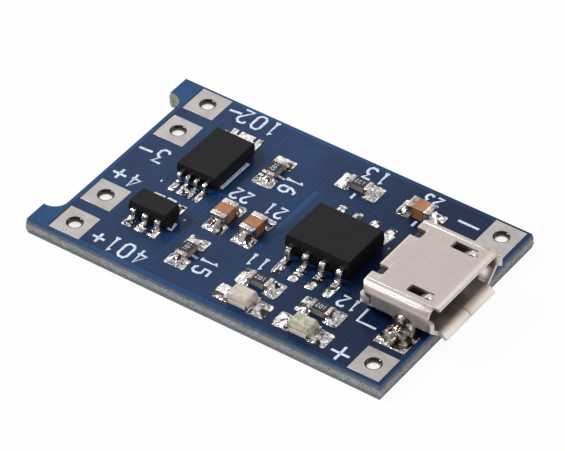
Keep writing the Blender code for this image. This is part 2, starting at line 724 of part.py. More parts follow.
def shell_section(seam):
    """Half of the shell's middle line, from the seam in the floor to the middle of the roof."""
    corners = ((seam, FLOOR_Z), (FLOOR_Y, FLOOR_Z), (WALL_Y, KNEE_Z), (WALL_Y, ROOF_Z), (0.0, ROOF_Z))
    return rounded_path(corners, (LOWER_BEND, LOWER_BEND, ROOF_BEND))


def edges_where(bm, test):
    """The boundary edges whose middle passes a test."""
    return [edge for edge in bm.edges if edge.is_boundary and test((edge.verts[0].co + edge.verts[1].co) / 2)]


def flare(length, angle, outward):
    """Offsets of a lip that curves out of its plane up to an angle."""
    offsets = []
    for step in range(ARC_STEPS):
        lean = angle * (step + 0.5) / ARC_STEPS
        run = length / ARC_STEPS
        offsets.append(Vector((run * math.cos(lean), 0, 0)) + Vector(outward) * run * math.sin(lean))
    return offsets


def shell_sheet():
    """Half of the folded sheet, without its thickness."""
    bm = bmesh.new()
    section = shell_section(SHELL_SEAM / 2)
    wall_low = max(point.y for point in section if point.x > WALL_Y - SEAT_GAP and point.y < ROOF_Z / 2)
    split = next(index for index, point in enumerate(section) if point.y > wall_low + SEAT_GAP)
    section.insert(split, Vector((WALL_Y, EAR_TOP_Z)))
    verts = [bm.verts.new((0.0, point.x, point.y)) for point in section]
    line = [bm.edges.new(pair) for pair in zip(verts, verts[1:])]
    slit_end = EAR_LENGTH + EAR_SLIT
    stations = (0.0, EAR_SETBACK, EAR_LENGTH, slit_end, TAB_START, TAB_START + TAB_WIDTH, SHELL_BODY_LENGTH)
    runs = [Vector((after - before, 0, 0)) for before, after in zip(stations, stations[1:])]
    extrude_along(bm, line, runs)

    def is_cut(face):
        """True where the sheet is cut: round the rear ear, at the tab and over the tails."""
        centre = face.calc_center_median()
        upright = wall_low < centre.z < BEND_START_Z
        above_ear = upright and centre.x < slit_end and centre.z > EAR_TOP_Z
        beside_ear = upright and (centre.x < EAR_SETBACK or EAR_LENGTH < centre.x < slit_end)
        tab = TAB_START < centre.x < TAB_START + TAB_WIDTH
        at_tab = tab and FLOOR_Z + SEAT_GAP < centre.z < wall_low
        over_tails = centre.x < EAR_LENGTH and centre.z < FLOOR_Z + SEAT_GAP
        return above_ear or beside_ear or at_tab or over_tails

    bmesh.ops.delete(bm, geom=[face for face in bm.faces if is_cut(face)], context="FACES")
    front = SHELL_BODY_LENGTH - SEAT_GAP
    slope_low = FLOOR_Z + SLOPE_LIP_START
    extrude_along(bm, edges_where(bm, lambda mid: mid.x > front and mid.z > ROOF_Z - SEAT_GAP),
                  flare(ROOF_LIP_LENGTH, ROOF_LIP_FLARE, (0, 0, 1)))
    extrude_along(bm, edges_where(bm, lambda mid: mid.x > front and wall_low < mid.z < BEND_START_Z),
                  flare(SIDE_LIP_LENGTH, SIDE_LIP_FLARE, (0, 1, 0)))
    extrude_along(bm, edges_where(bm, lambda mid: mid.x > front and mid.z < FLOOR_Z + SEAT_GAP),
                  flare(FLOOR_LIP_LENGTH, FLOOR_LIP_FLARE, (0, 0, -1)))
    slope = edges_where(bm, lambda mid: SHELL_BODY_LENGTH + SEAT_GAP > mid.x > front
                        and slope_low < mid.z < wall_low - SEAT_GAP)
    extrude_along(bm, slope, [(SLOPE_LIP_LENGTH, 0, 0)])
    tab_root = edges_where(bm, lambda mid: abs(mid.z - wall_low) < SEAT_GAP
                           and TAB_START < mid.x < TAB_START + TAB_WIDTH)
    foot_z = PART_SEAT + SHEET_THICKNESS / 2
    tab_path = rounded_path(((WALL_Y, wall_low), (WALL_Y, foot_z), (TAB_REACH, foot_z)), (TAB_BEND,))
    tab_steps = [after - before for before, after in zip(tab_path, tab_path[1:])]
    extrude_along(bm, tab_root, [Vector((0, step.x, step.y)) for step in tab_steps])
    ear_rear = edges_where(bm, lambda mid: abs(mid.x - EAR_SETBACK) < SEAT_GAP
                           and wall_low < mid.z < EAR_TOP_Z)
    curl = rounded_path(((0, 0), (-EAR_CURL, 0), (-EAR_CURL, -EAR_RETURN)), (EAR_CURL_RADIUS,))
    curl_steps = [after - before for before, after in zip(curl, curl[1:])]
    extrude_along(bm, ear_rear, [Vector((step.x, step.y, 0)) for step in curl_steps])
    bmesh.ops.remove_doubles(bm, verts=bm.verts[:], dist=SEAT_GAP / 10)
    return mesh_from(bm, "socket_shell")


def build_socket_shell(anchor):
    """The folded shell with its notches, windows and catches."""
    shell = place("socket_shell", shell_sheet(), nickel_plate, anchor)
    mirror = shell.modifiers.new("other_half", "MIRROR")
    mirror.use_axis = (False, True, False)
    mirror.merge_threshold = SEAT_GAP / 10
    thicken(shell, SHEET_THICKNESS)
    low = ROOF_Z - SHEET_THICKNESS
    high = ROOF_Z + SHEET_THICKNESS
    cut_bm = bmesh.new()
    for side in (-1, 1):
        middle = side * NOTCH_CENTRE
        add_rounded_box(cut_bm, (-NOTCH_DEPTH, middle - NOTCH_WIDTH / 2, low),
                        (NOTCH_DEPTH, middle + NOTCH_WIDTH / 2, high), NOTCH_CORNER)
        middle = side * WINDOW_CENTRE
        add_rounded_box(cut_bm, (WINDOW_START, middle - WINDOW_WIDTH / 2, low),
                        (WINDOW_START + WINDOW_LENGTH, middle + WINDOW_WIDTH / 2, high), NOTCH_CORNER / 2)
    openings = place_cutter("roof_openings", mesh_from(cut_bm, "roof_openings"), anchor)
    combine(shell, openings, "DIFFERENCE")
    front = WINDOW_START + WINDOW_LENGTH
    path = rounded_path(((front + CATCH_ROOT, ROOF_Z), (front - CATCH_THICKNESS / 2, ROOF_Z),
                         (front - CATCH_LENGTH, ROOF_Z - CATCH_DROP)), (CATCH_THICKNESS,), 2)
    for name, side in (("near_catch", -1), ("far_catch", 1)):
        catch = place_cutter(name, strip_mesh(name, path, CATCH_WIDTH), anchor,
                             (0, side * WINDOW_CENTRE, 0))
        thicken(catch, CATCH_THICKNESS)
        combine(shell, catch, "UNION")


def build_socket_core(anchor):
    """The plastic core: a plug that fills the shell's rear, and the tongue in its mouth."""
    start = CORE_REAR_INSET
    front = start + CORE_LENGTH
    half = shell_section(0.0)
    bm = bmesh.new()
    ring = [(start, point.x, point.y) for point in half]
    ring += [(start, -point.x, point.y) for point in reversed(half[1:-1])]
    face = bm.faces.new([bm.verts.new(point) for point in ring])
    face.normal_update()
    rim = bmesh.ops.inset_region(bm, faces=[face], thickness=SHEET_THICKNESS / 2 + CORE_FIT,
                                 use_boundary=True, use_even_offset=True)["faces"]
    bmesh.ops.delete(bm, geom=rim, context="FACES")
    drawn = bmesh.ops.extrude_face_region(bm, geom=bm.faces[:], use_keep_orig=True)["geom"]
    verts = [item for item in drawn if isinstance(item, bmesh.types.BMVert)]
    bmesh.ops.translate(bm, verts=verts, vec=(CORE_LENGTH, 0, 0))
    bmesh.ops.recalc_face_normals(bm, faces=bm.faces[:])
    core = place("socket_core", mesh_from(bm, "socket_core"), black_plastic, anchor)
    tongue_bm = bmesh.new()
    add_box(tongue_bm, (front - CORE_LENGTH / 2, -TONGUE_WIDTH / 2, TONGUE_HEIGHT - TONGUE_THICKNESS / 2),
            (front + TONGUE_LENGTH, TONGUE_WIDTH / 2, TONGUE_HEIGHT + TONGUE_THICKNESS / 2))
    tongue = place_cutter("tongue", mesh_from(tongue_bm, "tongue"), anchor)
    combine(core, tongue, "UNION")
    slot_bm = bmesh.new()
    blade = contact_level()
    for index in range(CONTACT_COUNT):
        y = (index - (CONTACT_COUNT - 1) / 2) * CONTACT_PITCH
        half_width = CONTACT_WIDTH / 2 + SEAT_GAP
        add_box(slot_bm, (start - SEAT_GAP, y - half_width, blade - CONTACT_THICKNESS / 2 - SEAT_GAP),
                (front + CONTACT_SLOT_RUNOUT, y + half_width, blade + CONTACT_THICKNESS / 2 + SEAT_GAP))
    slots = place_cutter("contact_slots", mesh_from(slot_bm, "contact_slots"), anchor)
    combine(core, slots, "DIFFERENCE")


def contact_level():
    """The height of the contacts' middle line under the tongue."""
    return TONGUE_HEIGHT - TONGUE_THICKNESS / 2 - SEAT_GAP * 2 - CONTACT_THICKNESS / 2


def build_contacts(anchor, x):
    """Five contacts: a blade under the tongue, through the core, and a tail on its land."""
    blade = contact_level()
    tail = PART_SEAT + CONTACT_THICKNESS / 2
    tip = CORE_REAR_INSET + CORE_LENGTH + TONGUE_LENGTH - CONTACT_TIP_INSET
    drop = CORE_REAR_INSET - CONTACT_TAIL_SETBACK
    toe = drop - CONTACT_TAIL_REACH
    path = rounded_path(((tip, blade), (drop, blade), (drop, tail), (toe, tail)),
                        (CONTACT_BEND, CONTACT_BEND))
    ribbon = strip_mesh("socket_contact", path, CONTACT_WIDTH)
    land_outer = -toe + TAIL_TOE_SOLDER
    bm = bmesh.new()
    for index in range(CONTACT_COUNT):
        y = (index - (CONTACT_COUNT - 1) / 2) * CONTACT_PITCH
        contact = place("socket_contact_" + str(index + 1), ribbon.copy(), gold_plate, anchor, (0, y, 0))
        thicken(contact, CONTACT_THICKNESS)
        add_land(bm, seat_matrix(x, y, BACKWARD), land_outer - TAIL_LAND_LENGTH,
                 -toe + SEAT_GAP, land_outer, TAIL_LAND_WIDTH, CONTACT_WIDTH, TOE_SOLDER_RISE)
    add_to_board("contact_lands", bm)


def build_socket():
    """The whole socket, and the lands that hold its shell."""
    x = SOCKET_END - SOCKET_REAR_INSET
    anchor = place_anchor("usb_socket", (x, 0, BOARD_TOP))
    build_socket_shell(anchor)
    build_socket_core(anchor)
    build_contacts(anchor, x)
    middle = x + TAB_START + TAB_WIDTH / 2
    land_bm = bmesh.new()
    add_box(land_bm, (middle - SHELL_LAND_LENGTH / 2, -SHELL_LAND_Y - SHELL_LAND_WIDTH / 2,
                      BOARD_TOP - LAND_SINK),
            (middle + SHELL_LAND_LENGTH / 2, -SHELL_LAND_Y + SHELL_LAND_WIDTH / 2,
             BOARD_TOP + LAND_RISE))
    add_to_board("shell_land", land_bm)
    joint_bm = bmesh.new()
    add_mound(joint_bm, (middle, -JOINT_Y, BOARD_TOP), (JOINT_LENGTH, JOINT_WIDTH, JOINT_HEIGHT),
              BOARD_TOP - LAND_SINK / 2)
    add_to_board("shell_joint", joint_bm)
    return anchor


def tab_pockets(anchor):
    """Bodies the size of the shell's two tabs, which the solder leaves free."""
    foot_z = PART_SEAT + SHEET_THICKNESS / 2
    corners = ((WALL_Y, JOINT_HEIGHT + SHEET_THICKNESS), (WALL_Y, foot_z), (TAB_REACH + SEAT_GAP, foot_z))
    path = rounded_path(corners, (TAB_BEND,))
    width = TAB_WIDTH + SEAT_GAP * 2
    mesh = strip_mesh("tab_pocket", path, width)
    middle = TAB_START + TAB_WIDTH / 2
    pockets = []
    for name, side in (("near_tab_pocket", -1), ("far_tab_pocket", 1)):
        pocket = place_cutter(name, mesh.copy(), anchor, (middle, 0, 0), CROSSWISE * side)
        thicken(pocket, SHEET_THICKNESS + SEAT_GAP * 2)
        pockets.append(pocket)
    return pockets


# Terminals


def build_terminal(name, x, y, inward=0.0):
    """One plated terminal. Its top land may run on inwards along the board's width."""
    anchor = place_anchor(name + "_seat", (x, y, 0))
    half_width = TERMINAL_WIDTH / 2
    low_y = -half_width - (inward if y > 0 else 0.0)
    top_low = BOARD_TOP + TERMINAL_LAND_RISE - TERMINAL_LAND_THICKNESS
    barrel_radius = TERMINAL_DRILL / 2 + TERMINAL_BARREL_WALL
    solids = []
    for growth in (0.0, SEAT_GAP):
        bm = bmesh.new()
        half = TERMINAL_LENGTH / 2 + growth
        add_box(bm, (-half, low_y - growth, top_low - growth),
                (half, half_width + growth, BOARD_TOP + TERMINAL_LAND_RISE + growth))
        top = mesh_from(bm, name + "_top")
        bm = bmesh.new()
        add_box(bm, (-half, -half_width - growth, -growth),
                (half, half_width + growth, TERMINAL_LAND_THICKNESS + growth))
        bottom = place_cutter(name + "_underside_" + str(len(solids)), mesh_from(bm, name), anchor)
        bm = bmesh.new()
        overlap = TERMINAL_LAND_THICKNESS / 2
        add_cylinder(bm, barrel_radius + growth, overlap, top_low + overlap)
        barrel = place_cutter(name + "_barrel_" + str(len(solids)), mesh_from(bm, name), anchor)
        if growth:
            solid = place_cutter(name + "_pocket", top, anchor)
        else:
            solid = place(name, top, tinned_copper, anchor)
        combine(solid, barrel, "UNION")
        combine(solid, bottom, "UNION")
        solids.append(solid)
    bm = bmesh.new()
    add_cylinder(bm, TERMINAL_DRILL / 2, -TERMINAL_DRILL, BOARD_TOP + TERMINAL_DRILL)
    drill = place_cutter(name + "_drill", mesh_from(bm, name + "_drill"), anchor)
    combine(solids[0], drill, "DIFFERENCE")
    return solids


def add_ground_joint(terminal, tab):
    """The solder that holds the shell's far tab on the input terminal's long land."""
    bm = bmesh.new()
    floor = BOARD_TOP + TERMINAL_LAND_RISE - TERMINAL_LAND_THICKNESS / 2
    centre = (SOCKET_END - SOCKET_REAR_INSET + TAB_START + TAB_WIDTH / 2, JOINT_Y, BOARD_TOP)
    add_mound(bm, centre, (JOINT_LENGTH, JOINT_WIDTH, JOINT_HEIGHT), floor)
    combine(terminal, place_cutter("ground_joint", mesh_from(bm, "ground_joint")), "UNION")
    combine(terminal, tab, "DIFFERENCE")


# Board


def board_blank():
    """The board's plate, with the bevels that the score lines leave on all four sides."""
    bm = bmesh.new()
    verts = add_box(bm, (OUTPUT_END, NEAR_SIDE, SCORE_DEPTH),
                    (SOCKET_END, FAR_SIDE, BOARD_THICKNESS - SCORE_DEPTH))
    caps = [face for face in bm.faces if abs(face.normal.z) > 0.9]
    for cap in caps:
        up = math.copysign(SCORE_DEPTH, cap.normal.z)
        drawn = bmesh.ops.extrude_discrete_faces(bm, faces=[cap])["faces"][0]
        for vert in drawn.verts:
            vert.co.x -= math.copysign(SCORE_BEVEL, vert.co.x)
            vert.co.y -= math.copysign(SCORE_BEVEL, vert.co.y)
            vert.co.z += up
    return mesh_from(bm, "circuit_board")


def routed_slot():
    """The path of the router at the output end: a slot with round ends."""
    bm = bmesh.new()
    centre_x = OUTPUT_END + ROUTED_DEPTH - ROUTER_RADIUS
    end_y = BOARD_WIDTH / 2 - EAR_WIDTH - ROUTER_RADIUS
    low = -BOARD_THICKNESS
    high = BOARD_THICKNESS * 2
    outside = OUTPUT_END - ROUTER_RADIUS * 2
    add_rounded_box(bm, (outside, -end_y - ROUTER_RADIUS, low),
                    (centre_x + ROUTER_RADIUS, end_y + ROUTER_RADIUS, high), ROUTER_RADIUS)
    return place_cutter("routed_slot", mesh_from(bm, "routed_slot"))


def build_board(pockets, tab):
    """The board with its lands and solder, cut for the terminals and the shell's near tab."""
    board = place("circuit_board", board_blank(), laminate)
    combine(board, routed_slot(), "DIFFERENCE")
    for addition in board_additions:
        combine(board, addition, "UNION")
    for pocket in pockets:
        combine(board, pocket, "DIFFERENCE")
    combine(board, tab, "DIFFERENCE")


build_charger_chip()
build_switch_chip()
build_guard_chip()
lamp_1_x = BOARD_LENGTH * LAMP_X
lamp_2_x = lamp_1_x + LAMP_PITCH
build_lamp("charging_lamp", lamp_1_x, lamp_y)
build_lamp("ready_lamp", lamp_2_x, lamp_y)
build_chip("lamp_resistor_1", "resistor", lamp_1_x, lamp_resistor_y)
build_chip("lamp_resistor_2", "resistor", lamp_2_x, lamp_resistor_y)
build_chip("current_resistor", "resistor", BOARD_LENGTH * CURRENT_RESISTOR_X, far_row_y)
build_chip("input_capacitor", "capacitor", BOARD_LENGTH * INPUT_CAPACITOR_X, far_row_y)
column_x = BOARD_LENGTH * COLUMN_X
build_chip("sense_resistor", "resistor", column_x, sense_resistor_y, CROSSWISE)
build_chip("supply_resistor", "resistor", column_x, supply_resistor_y, CROSSWISE)
build_chip("guard_capacitor", "capacitor", column_x, capacitor_y, CROSSWISE)
build_chip("battery_capacitor", "capacitor", BOARD_LENGTH * BATTERY_CAPACITOR_X, capacitor_y, CROSSWISE)
socket_anchor = build_socket()

near_tab, far_tab = tab_pockets(socket_anchor)

terminal_x = OUTPUT_END + ROUTED_DEPTH + TERMINAL_FROM_SLOT
outer_y = BOARD_WIDTH / 2 - TERMINAL_SIDE_INSET
inner_y = outer_y - TERMINAL_PITCH
input_x = SOCKET_END - INPUT_END_INSET
terminals = [
    build_terminal("output_minus_terminal", terminal_x, outer_y),
    build_terminal("battery_minus_terminal", terminal_x, inner_y),
    build_terminal("battery_plus_terminal", terminal_x, -inner_y),
    build_terminal("output_plus_terminal", terminal_x, -outer_y),
    build_terminal("input_plus_terminal", input_x, -outer_y),
    build_terminal("input_minus_terminal", input_x, outer_y, GROUND_LAND_LENGTH - TERMINAL_WIDTH),
]
add_ground_joint(terminals[-1][0], far_tab)
build_board([pocket for terminal, pocket in terminals], near_tab)
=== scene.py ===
import math

import bmesh
import bpy
from mathutils import Matrix
from mathutils import Vector
from mathutils import noise


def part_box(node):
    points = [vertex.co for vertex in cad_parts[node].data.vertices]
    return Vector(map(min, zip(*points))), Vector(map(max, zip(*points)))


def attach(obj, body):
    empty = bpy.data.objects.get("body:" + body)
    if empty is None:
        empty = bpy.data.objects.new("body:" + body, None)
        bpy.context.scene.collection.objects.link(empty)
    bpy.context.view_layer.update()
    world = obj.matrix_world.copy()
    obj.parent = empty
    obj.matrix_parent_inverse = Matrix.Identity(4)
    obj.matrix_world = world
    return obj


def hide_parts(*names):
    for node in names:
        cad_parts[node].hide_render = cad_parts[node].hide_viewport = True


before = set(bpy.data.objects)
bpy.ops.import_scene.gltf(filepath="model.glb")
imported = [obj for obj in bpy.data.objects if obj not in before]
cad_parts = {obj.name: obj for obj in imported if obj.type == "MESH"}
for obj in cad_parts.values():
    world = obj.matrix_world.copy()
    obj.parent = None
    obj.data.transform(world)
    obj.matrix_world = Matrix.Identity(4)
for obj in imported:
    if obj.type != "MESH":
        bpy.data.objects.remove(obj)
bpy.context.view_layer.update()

# Laminate plate. The real one is woven glass in epoxy, 1.2 mm thick, with blue solder mask
# on both faces. It was snapped out of a panel along V-shaped grooves, so its edges have a
# sawn bevel above and below a torn band. A router cut the recess at the output end.

MM = 0.001
HAIR = 0.004 * MM
FACING = 0.9
BOARD_TOP = 1.2 * MM
SCORE_DEPTH = 0.4 * MM
SCORE_BEVEL = 0.13 * MM
TEAR_PITCH = 0.3 * MM
TEAR_DEPTH = 0.1 * MM
# The tufts of the torn edge: size and share of the depth.
TUFT_SIZES = ((0.5 * MM, 1.0), (0.23 * MM, 0.7))
TEAR_MEAN = 0.45
TEAR_SWING = 0.6
ROUTER_RADIUS = 1.0 * MM
ROUTED_DEPTH = 1.3 * MM
EAR_WIDTH = 1.84 * MM
LAND_WIDTH = 2.35 * MM
LAND_SINK = 0.04 * MM
BARREL_RADIUS = 0.66 * MM
HOLE_SIDES = 64
TERMINALS = ("output_minus_terminal", "battery_minus_terminal", "battery_plus_terminal",
             "output_plus_terminal", "input_plus_terminal", "input_minus_terminal")

plate_low, plate_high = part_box("circuit_board")
board_length = plate_high.x - plate_low.x
board_width = plate_high.y - plate_low.y


def linear(code):
    """A colour written as sRGB hex, in linear light."""
    shares = [int(code[start:start + 2], 16) / 255 for start in (1, 3, 5)]
    return (*[share / 12.92 if share <= 0.04045 else ((share + 0.055) / 1.055) ** 2.4
              for share in shares], 1.0)


def add_node(material, kind, settings, inputs):
    """A shader node with its settings, and a value or a link for each socket named."""
    tree = material.node_tree
    made = tree.nodes.new(kind)
    for name, value in settings.items():
        setattr(made, name, value)
    for socket, value in inputs.items():
        if isinstance(value, bpy.types.NodeSocket):
            tree.links.new(value, made.inputs[socket])
        else:
            made.inputs[socket].default_value = value
    return made


def finish_for(name, roughness, metallic=0.0):
    """A new material, its shader and the place on the piece that its patterns read."""
    material = bpy.data.materials.new(name)
    material.use_nodes = True
    shader = material.node_tree.nodes["Principled BSDF"]
    shader.inputs["Roughness"].default_value = roughness
    shader.inputs["Metallic"].default_value = metallic
    place = add_node(material, "ShaderNodeTexCoord", {}, {}).outputs["Object"]
    return material, shader, place


def set_colour(material, shader, colour):
    """Give the shader its colour."""
    material.node_tree.links.new(colour, shader.inputs["Base Color"])


def grade(material, value, start, end, first, second, ease="LINEAR"):
    """A colour that runs from one to another, in hex, linear or from a socket, between two levels."""
    share = add_node(material, "ShaderNodeMapRange", {"interpolation_type": ease},
                     {"Value": value, "From Min": start, "From Max": end}).outputs["Result"]
    colours = [linear(colour) if isinstance(colour, str) else colour for colour in (first, second)]
    return add_node(material, "ShaderNodeMix", {"data_type": "RGBA"},
                    {0: share, 6: colours[0], 7: colours[1]}).outputs[2]


def mottle(material, place, size, detail, low, high, first, second):
    """A colour in clouds of a real size in metres, which runs from one to another between two levels."""
    clouds = add_node(material, "ShaderNodeTexNoise", {},
                      {"Vector": place, "Scale": 1 / size, "Detail": detail, "Roughness": 0.6})
    return grade(material, clouds.outputs["Fac"], low, high, first, second)


def roughen(material, shader, place, size, detail, depth, strength=1.0, low=0.2, high=0.8):
    """Give the shader a cloudy relief of a real size and depth in metres."""
    clouds = add_node(material, "ShaderNodeTexNoise", {},
                      {"Vector": place, "Scale": 1 / size, "Detail": detail, "Roughness": 0.6})
    height = add_node(material, "ShaderNodeMapRange", {},
                      {"Value": clouds.outputs["Fac"], "From Min": low, "From Max": high}).outputs["Result"]
    bump = add_node(material, "ShaderNodeBump", {},
                    {"Height": height, "Distance": depth, "Strength": strength})
    material.node_tree.links.new(bump.outputs["Normal"], shader.inputs["Normal"])


def begin(name):
    """A new empty piece at the origin, open in edit mode."""
    bpy.ops.object.select_all(action="DESELECT")
    piece = bpy.data.objects.new(name, bpy.data.meshes.new(name))
    bpy.context.scene.collection.objects.link(piece)
    bpy.context.view_layer.objects.active = piece
    piece.select_set(True)
    bpy.ops.object.mode_set(mode="EDIT")
    return piece


def take(piece):
    """Select one piece alone."""
    bpy.ops.object.select_all(action="DESELECT")
    bpy.context.view_layer.objects.active = piece
    piece.select_set(True)


def pick(kind, test):
    """Select the corners, edges or faces of the open piece that pass a test of middle and direction."""
    bpy.ops.mesh.select_mode(type=kind)
    bpy.ops.mesh.select_all(action="DESELECT")
    mesh = bpy.context.edit_object.data
    bm = bmesh.from_edit_mesh(mesh)
    bm.normal_update()
    if kind == "FACE":
        found = [face for face in bm.faces if test(face.calc_center_median(), face.normal)]
    elif kind == "EDGE":
        found = [edge for edge in bm.edges
                 if test((edge.verts[0].co + edge.verts[1].co) / 2, edge.verts[1].co - edge.verts[0].co)]
    else:
        found = [vert for vert in bm.verts if test(vert.co, vert.normal)]
    for item in found:
        item.select_set(True)
    bmesh.update_edit_mesh(mesh)


def pick_top():
    """Select the upper faces of the open piece."""
    pick("FACE", lambda at, facing: facing.z > FACING)


def grow(offset):
    """Extrude what is selected by an offset."""
    bpy.ops.mesh.extrude_region_move(TRANSFORM_OT_translate={"value": offset})


def move(x, y, z):
    """Move what is selected."""
    bpy.ops.transform.translate(value=(x, y, z))


def stretch(shares, centre=(0, 0, 0)):
    """Scale what is selected about a point."""
    bpy.ops.transform.resize(value=shares, center_override=centre)


def bevel(width, segments):
    """Round what is selected."""
    bpy.ops.mesh.bevel(offset=width, segments=segments, affect="EDGES")


def add_block(low, high):
    """Add a box between two corners to the open piece, and leave it selected."""
    low, high = Vector(low), Vector(high)
    bpy.ops.mesh.primitive_cube_add(size=1, location=(low + high) / 2, scale=high - low)


def close(piece, smooth=35):
    """Leave edit mode, with the faces outwards and smooth up to an angle in degrees."""
    bpy.ops.mesh.select_mode(type="FACE")
    bpy.ops.mesh.select_all(action="SELECT")
    bpy.ops.mesh.normals_make_consistent(inside=False)
    bpy.ops.object.mode_set(mode="OBJECT")
    shade(piece, smooth)


def shade(piece, smooth):
    """Shade a piece smooth where its faces meet below an angle in degrees."""
    take(piece)
    bpy.ops.object.shade_smooth_by_angle(angle=math.radians(smooth))


def block(name, low, high):
    """A box piece between two corners."""
    piece = begin(name)
    add_block(low, high)
    close(piece)
    return piece


def refine(piece, kind, **settings):
    """Add a modifier with its settings and apply it."""
    step = piece.modifiers.new(kind.lower(), kind)
    for name, value in settings.items():
        setattr(step, name, value)
    take(piece)
    bpy.ops.object.modifier_apply(modifier=step.name)


def carve(piece, tool, operation="DIFFERENCE"):
    """Cut a piece with another, or join that one to it, and use the other one up."""
    refine(piece, "BOOLEAN", object=tool, operation=operation, solver="EXACT")
    bpy.data.objects.remove(tool, do_unlink=True)


def dress(piece, slot, *materials):
    """Level a piece's shading, give it its materials and put it in the root body; its slot is not used."""
    refine(piece, "WEIGHTED_NORMAL", keep_sharp=True, weight=90)
    piece.data.materials.clear()
    for material in materials:
        piece.data.materials.append(material)
    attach(piece, "root")


def hole_centre(terminal):
    """The middle of a terminal's hole, which lies towards the board's nearer long side."""
    low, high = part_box(terminal)
    y = high.y - LAND_WIDTH / 2 if high.y > 0 else low.y + LAND_WIDTH / 2
    return Vector(((low.x + high.x) / 2, y, 0))


def rod(name, centre, radius, low, high):
    """An upright round tool."""
    piece = begin(name)
    bpy.ops.mesh.primitive_cylinder_add(vertices=HOLE_SIDES, radius=radius, depth=high - low,
                                        location=(centre.x, centre.y, (low + high) / 2))
    close(piece)
    return piece


plate = begin("laminate_plate")
bpy.ops.mesh.primitive_grid_add(x_subdivisions=round(board_length / TEAR_PITCH),
                                y_subdivisions=round(board_width / TEAR_PITCH), size=1)
stretch((board_length, board_width, 1))
torn_band = BOARD_TOP - SCORE_DEPTH * 2
for rise in (SCORE_DEPTH, torn_band / 3, torn_band / 3, torn_band / 3, SCORE_DEPTH):
    grow((0, 0, rise))
pick("VERT", lambda at, facing: at.z < HAIR or at.z > BOARD_TOP - HAIR)
stretch((1 - SCORE_BEVEL * 2 / board_length, 1 - SCORE_BEVEL * 2 / board_width, 1))
close(plate)

router = begin("router_path")
recess = board_width / 2 - EAR_WIDTH
add_block((plate_low.x - ROUTER_RADIUS * 2, -recess, -BOARD_TOP),
          (plate_low.x + ROUTED_DEPTH, recess, BOARD_TOP * 2))
pick("EDGE", lambda at, along: abs(along.z) > BOARD_TOP)
bevel(ROUTER_RADIUS, 14)
close(router)
carve(plate, router)
for terminal in TERMINALS:
    low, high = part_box(terminal)
    centre = hole_centre(terminal)
    carve(plate, rod("drill", centre, BARREL_RADIUS, -BOARD_TOP, BOARD_TOP * 2))
    carve(plate, block("land_seat", (low.x, centre.y - LAND_WIDTH / 2, -MM),
                       (high.x, centre.y + LAND_WIDTH / 2, LAND_SINK)))

for vert in plate.data.vertices:
    spot = vert.co
    if SCORE_DEPTH - HAIR < spot.z < BOARD_TOP - SCORE_DEPTH + HAIR:
        torn = sum(share * noise.noise(spot / size) for size, share in TUFT_SIZES)
        depth = TEAR_DEPTH * min(max(TEAR_MEAN + TEAR_SWING * torn, 0.0), 1.0)
        if abs(spot.x) > board_length / 2 - HAIR:
            spot.x -= math.copysign(depth, spot.x)
        if abs(spot.y) > board_width / 2 - HAIR:
            spot.y -= math.copysign(depth, spot.y)


def shade_towards_socket(material, place, colour, shaded):
    """The lacquer's colour with painted shade, which darkens it towards the socket end."""
    along = add_node(material, "ShaderNodeSeparateXYZ", {}, {"Vector": place}).outputs["X"]
    return grade(material, along, SHADE_START, SHADE_FULL, colour, shaded, "SMOOTHSTEP")


# Solder mask over bare laminate: a glossy screened lacquer, brighter where no copper lies under it.
# Painted shade on the lacquer: where it starts and where it is full, along X.
SHADE_START = -3.0 * MM
SHADE_FULL = 9.0 * MM
mask_on_laminate, shader, place = finish_for("mask_over_laminate", 0.3)
shader.inputs["Specular IOR Level"].default_value = 0.2
lacquer = mottle(mask_on_laminate, place, 3.0 * MM, 3, 0.3, 0.7, "#193c64", "#1d4672")
# Painted shade darkens this lacquer towards the socket end.
set_colour(mask_on_laminate, shader, shade_towards_socket(mask_on_laminate, place, lacquer, "#0f2c4d"))
roughen(mask_on_laminate, shader, place, 0.35 * MM, 2, 0.004 * MM, 0.6)

# Sawn laminate: resin and glass scraped by the scoring wheel, a satin grey with mask dragged
# over its upper rim.
SMEAR_LOW = BOARD_TOP * 0.68
SMEAR_HIGH = BOARD_TOP * 0.94
sawn, shader, place = finish_for("scored_laminate", 0.6)
shader.inputs["Specular IOR Level"].default_value = 0.3
fibre = add_node(sawn, "ShaderNodeMapping", {}, {"Vector": place, "Scale": (1, 1, 3)}).outputs["Vector"]
level = add_node(sawn, "ShaderNodeSeparateXYZ", {}, {"Vector": place}).outputs["Z"]
resin_grey = mottle(sawn, fibre, 0.25 * MM, 4, 0.35, 0.65, "#585e63", "#888e93")
set_colour(sawn, shader, grade(sawn, level, SMEAR_LOW, SMEAR_HIGH, resin_grey, "#2b4a70"))
roughen(sawn, shader, fibre, 0.12 * MM, 4, 0.02 * MM)

# Snapped laminate: broken glass bundles in resin, a coarse dark and pale grey.
torn_edge, shader, place = finish_for("snapped_laminate", 0.8)
fibre = add_node(torn_edge, "ShaderNodeMapping", {},
                 {"Vector": place, "Scale": (1, 1, 2.2)}).outputs["Vector"]
tufts = mottle(torn_edge, fibre, 0.32 * MM, 5, 0.38, 0.62, "#777068", "#999fa7")
set_colour(torn_edge, shader, mottle(torn_edge, fibre, 0.09 * MM, 3, 0.45, 0.7, tufts, "#c9ccd0"))
roughen(torn_edge, shader, fibre, 0.32 * MM, 5, 0.05 * MM, 1.0, 0.38, 0.62)

# Routed laminate: cut clean across the glass, a dull olive grey.
routed, shader, place = finish_for("routed_laminate", 0.65)
ply = add_node(routed, "ShaderNodeMapping", {}, {"Vector": place, "Scale": (1, 1, 6)}).outputs["Vector"]
set_colour(routed, shader, mottle(routed, ply, 0.6 * MM, 4, 0.35, 0.65, "#69706a", "#97998c"))
roughen(routed, shader, ply, 0.2 * MM, 3, 0.012 * MM)

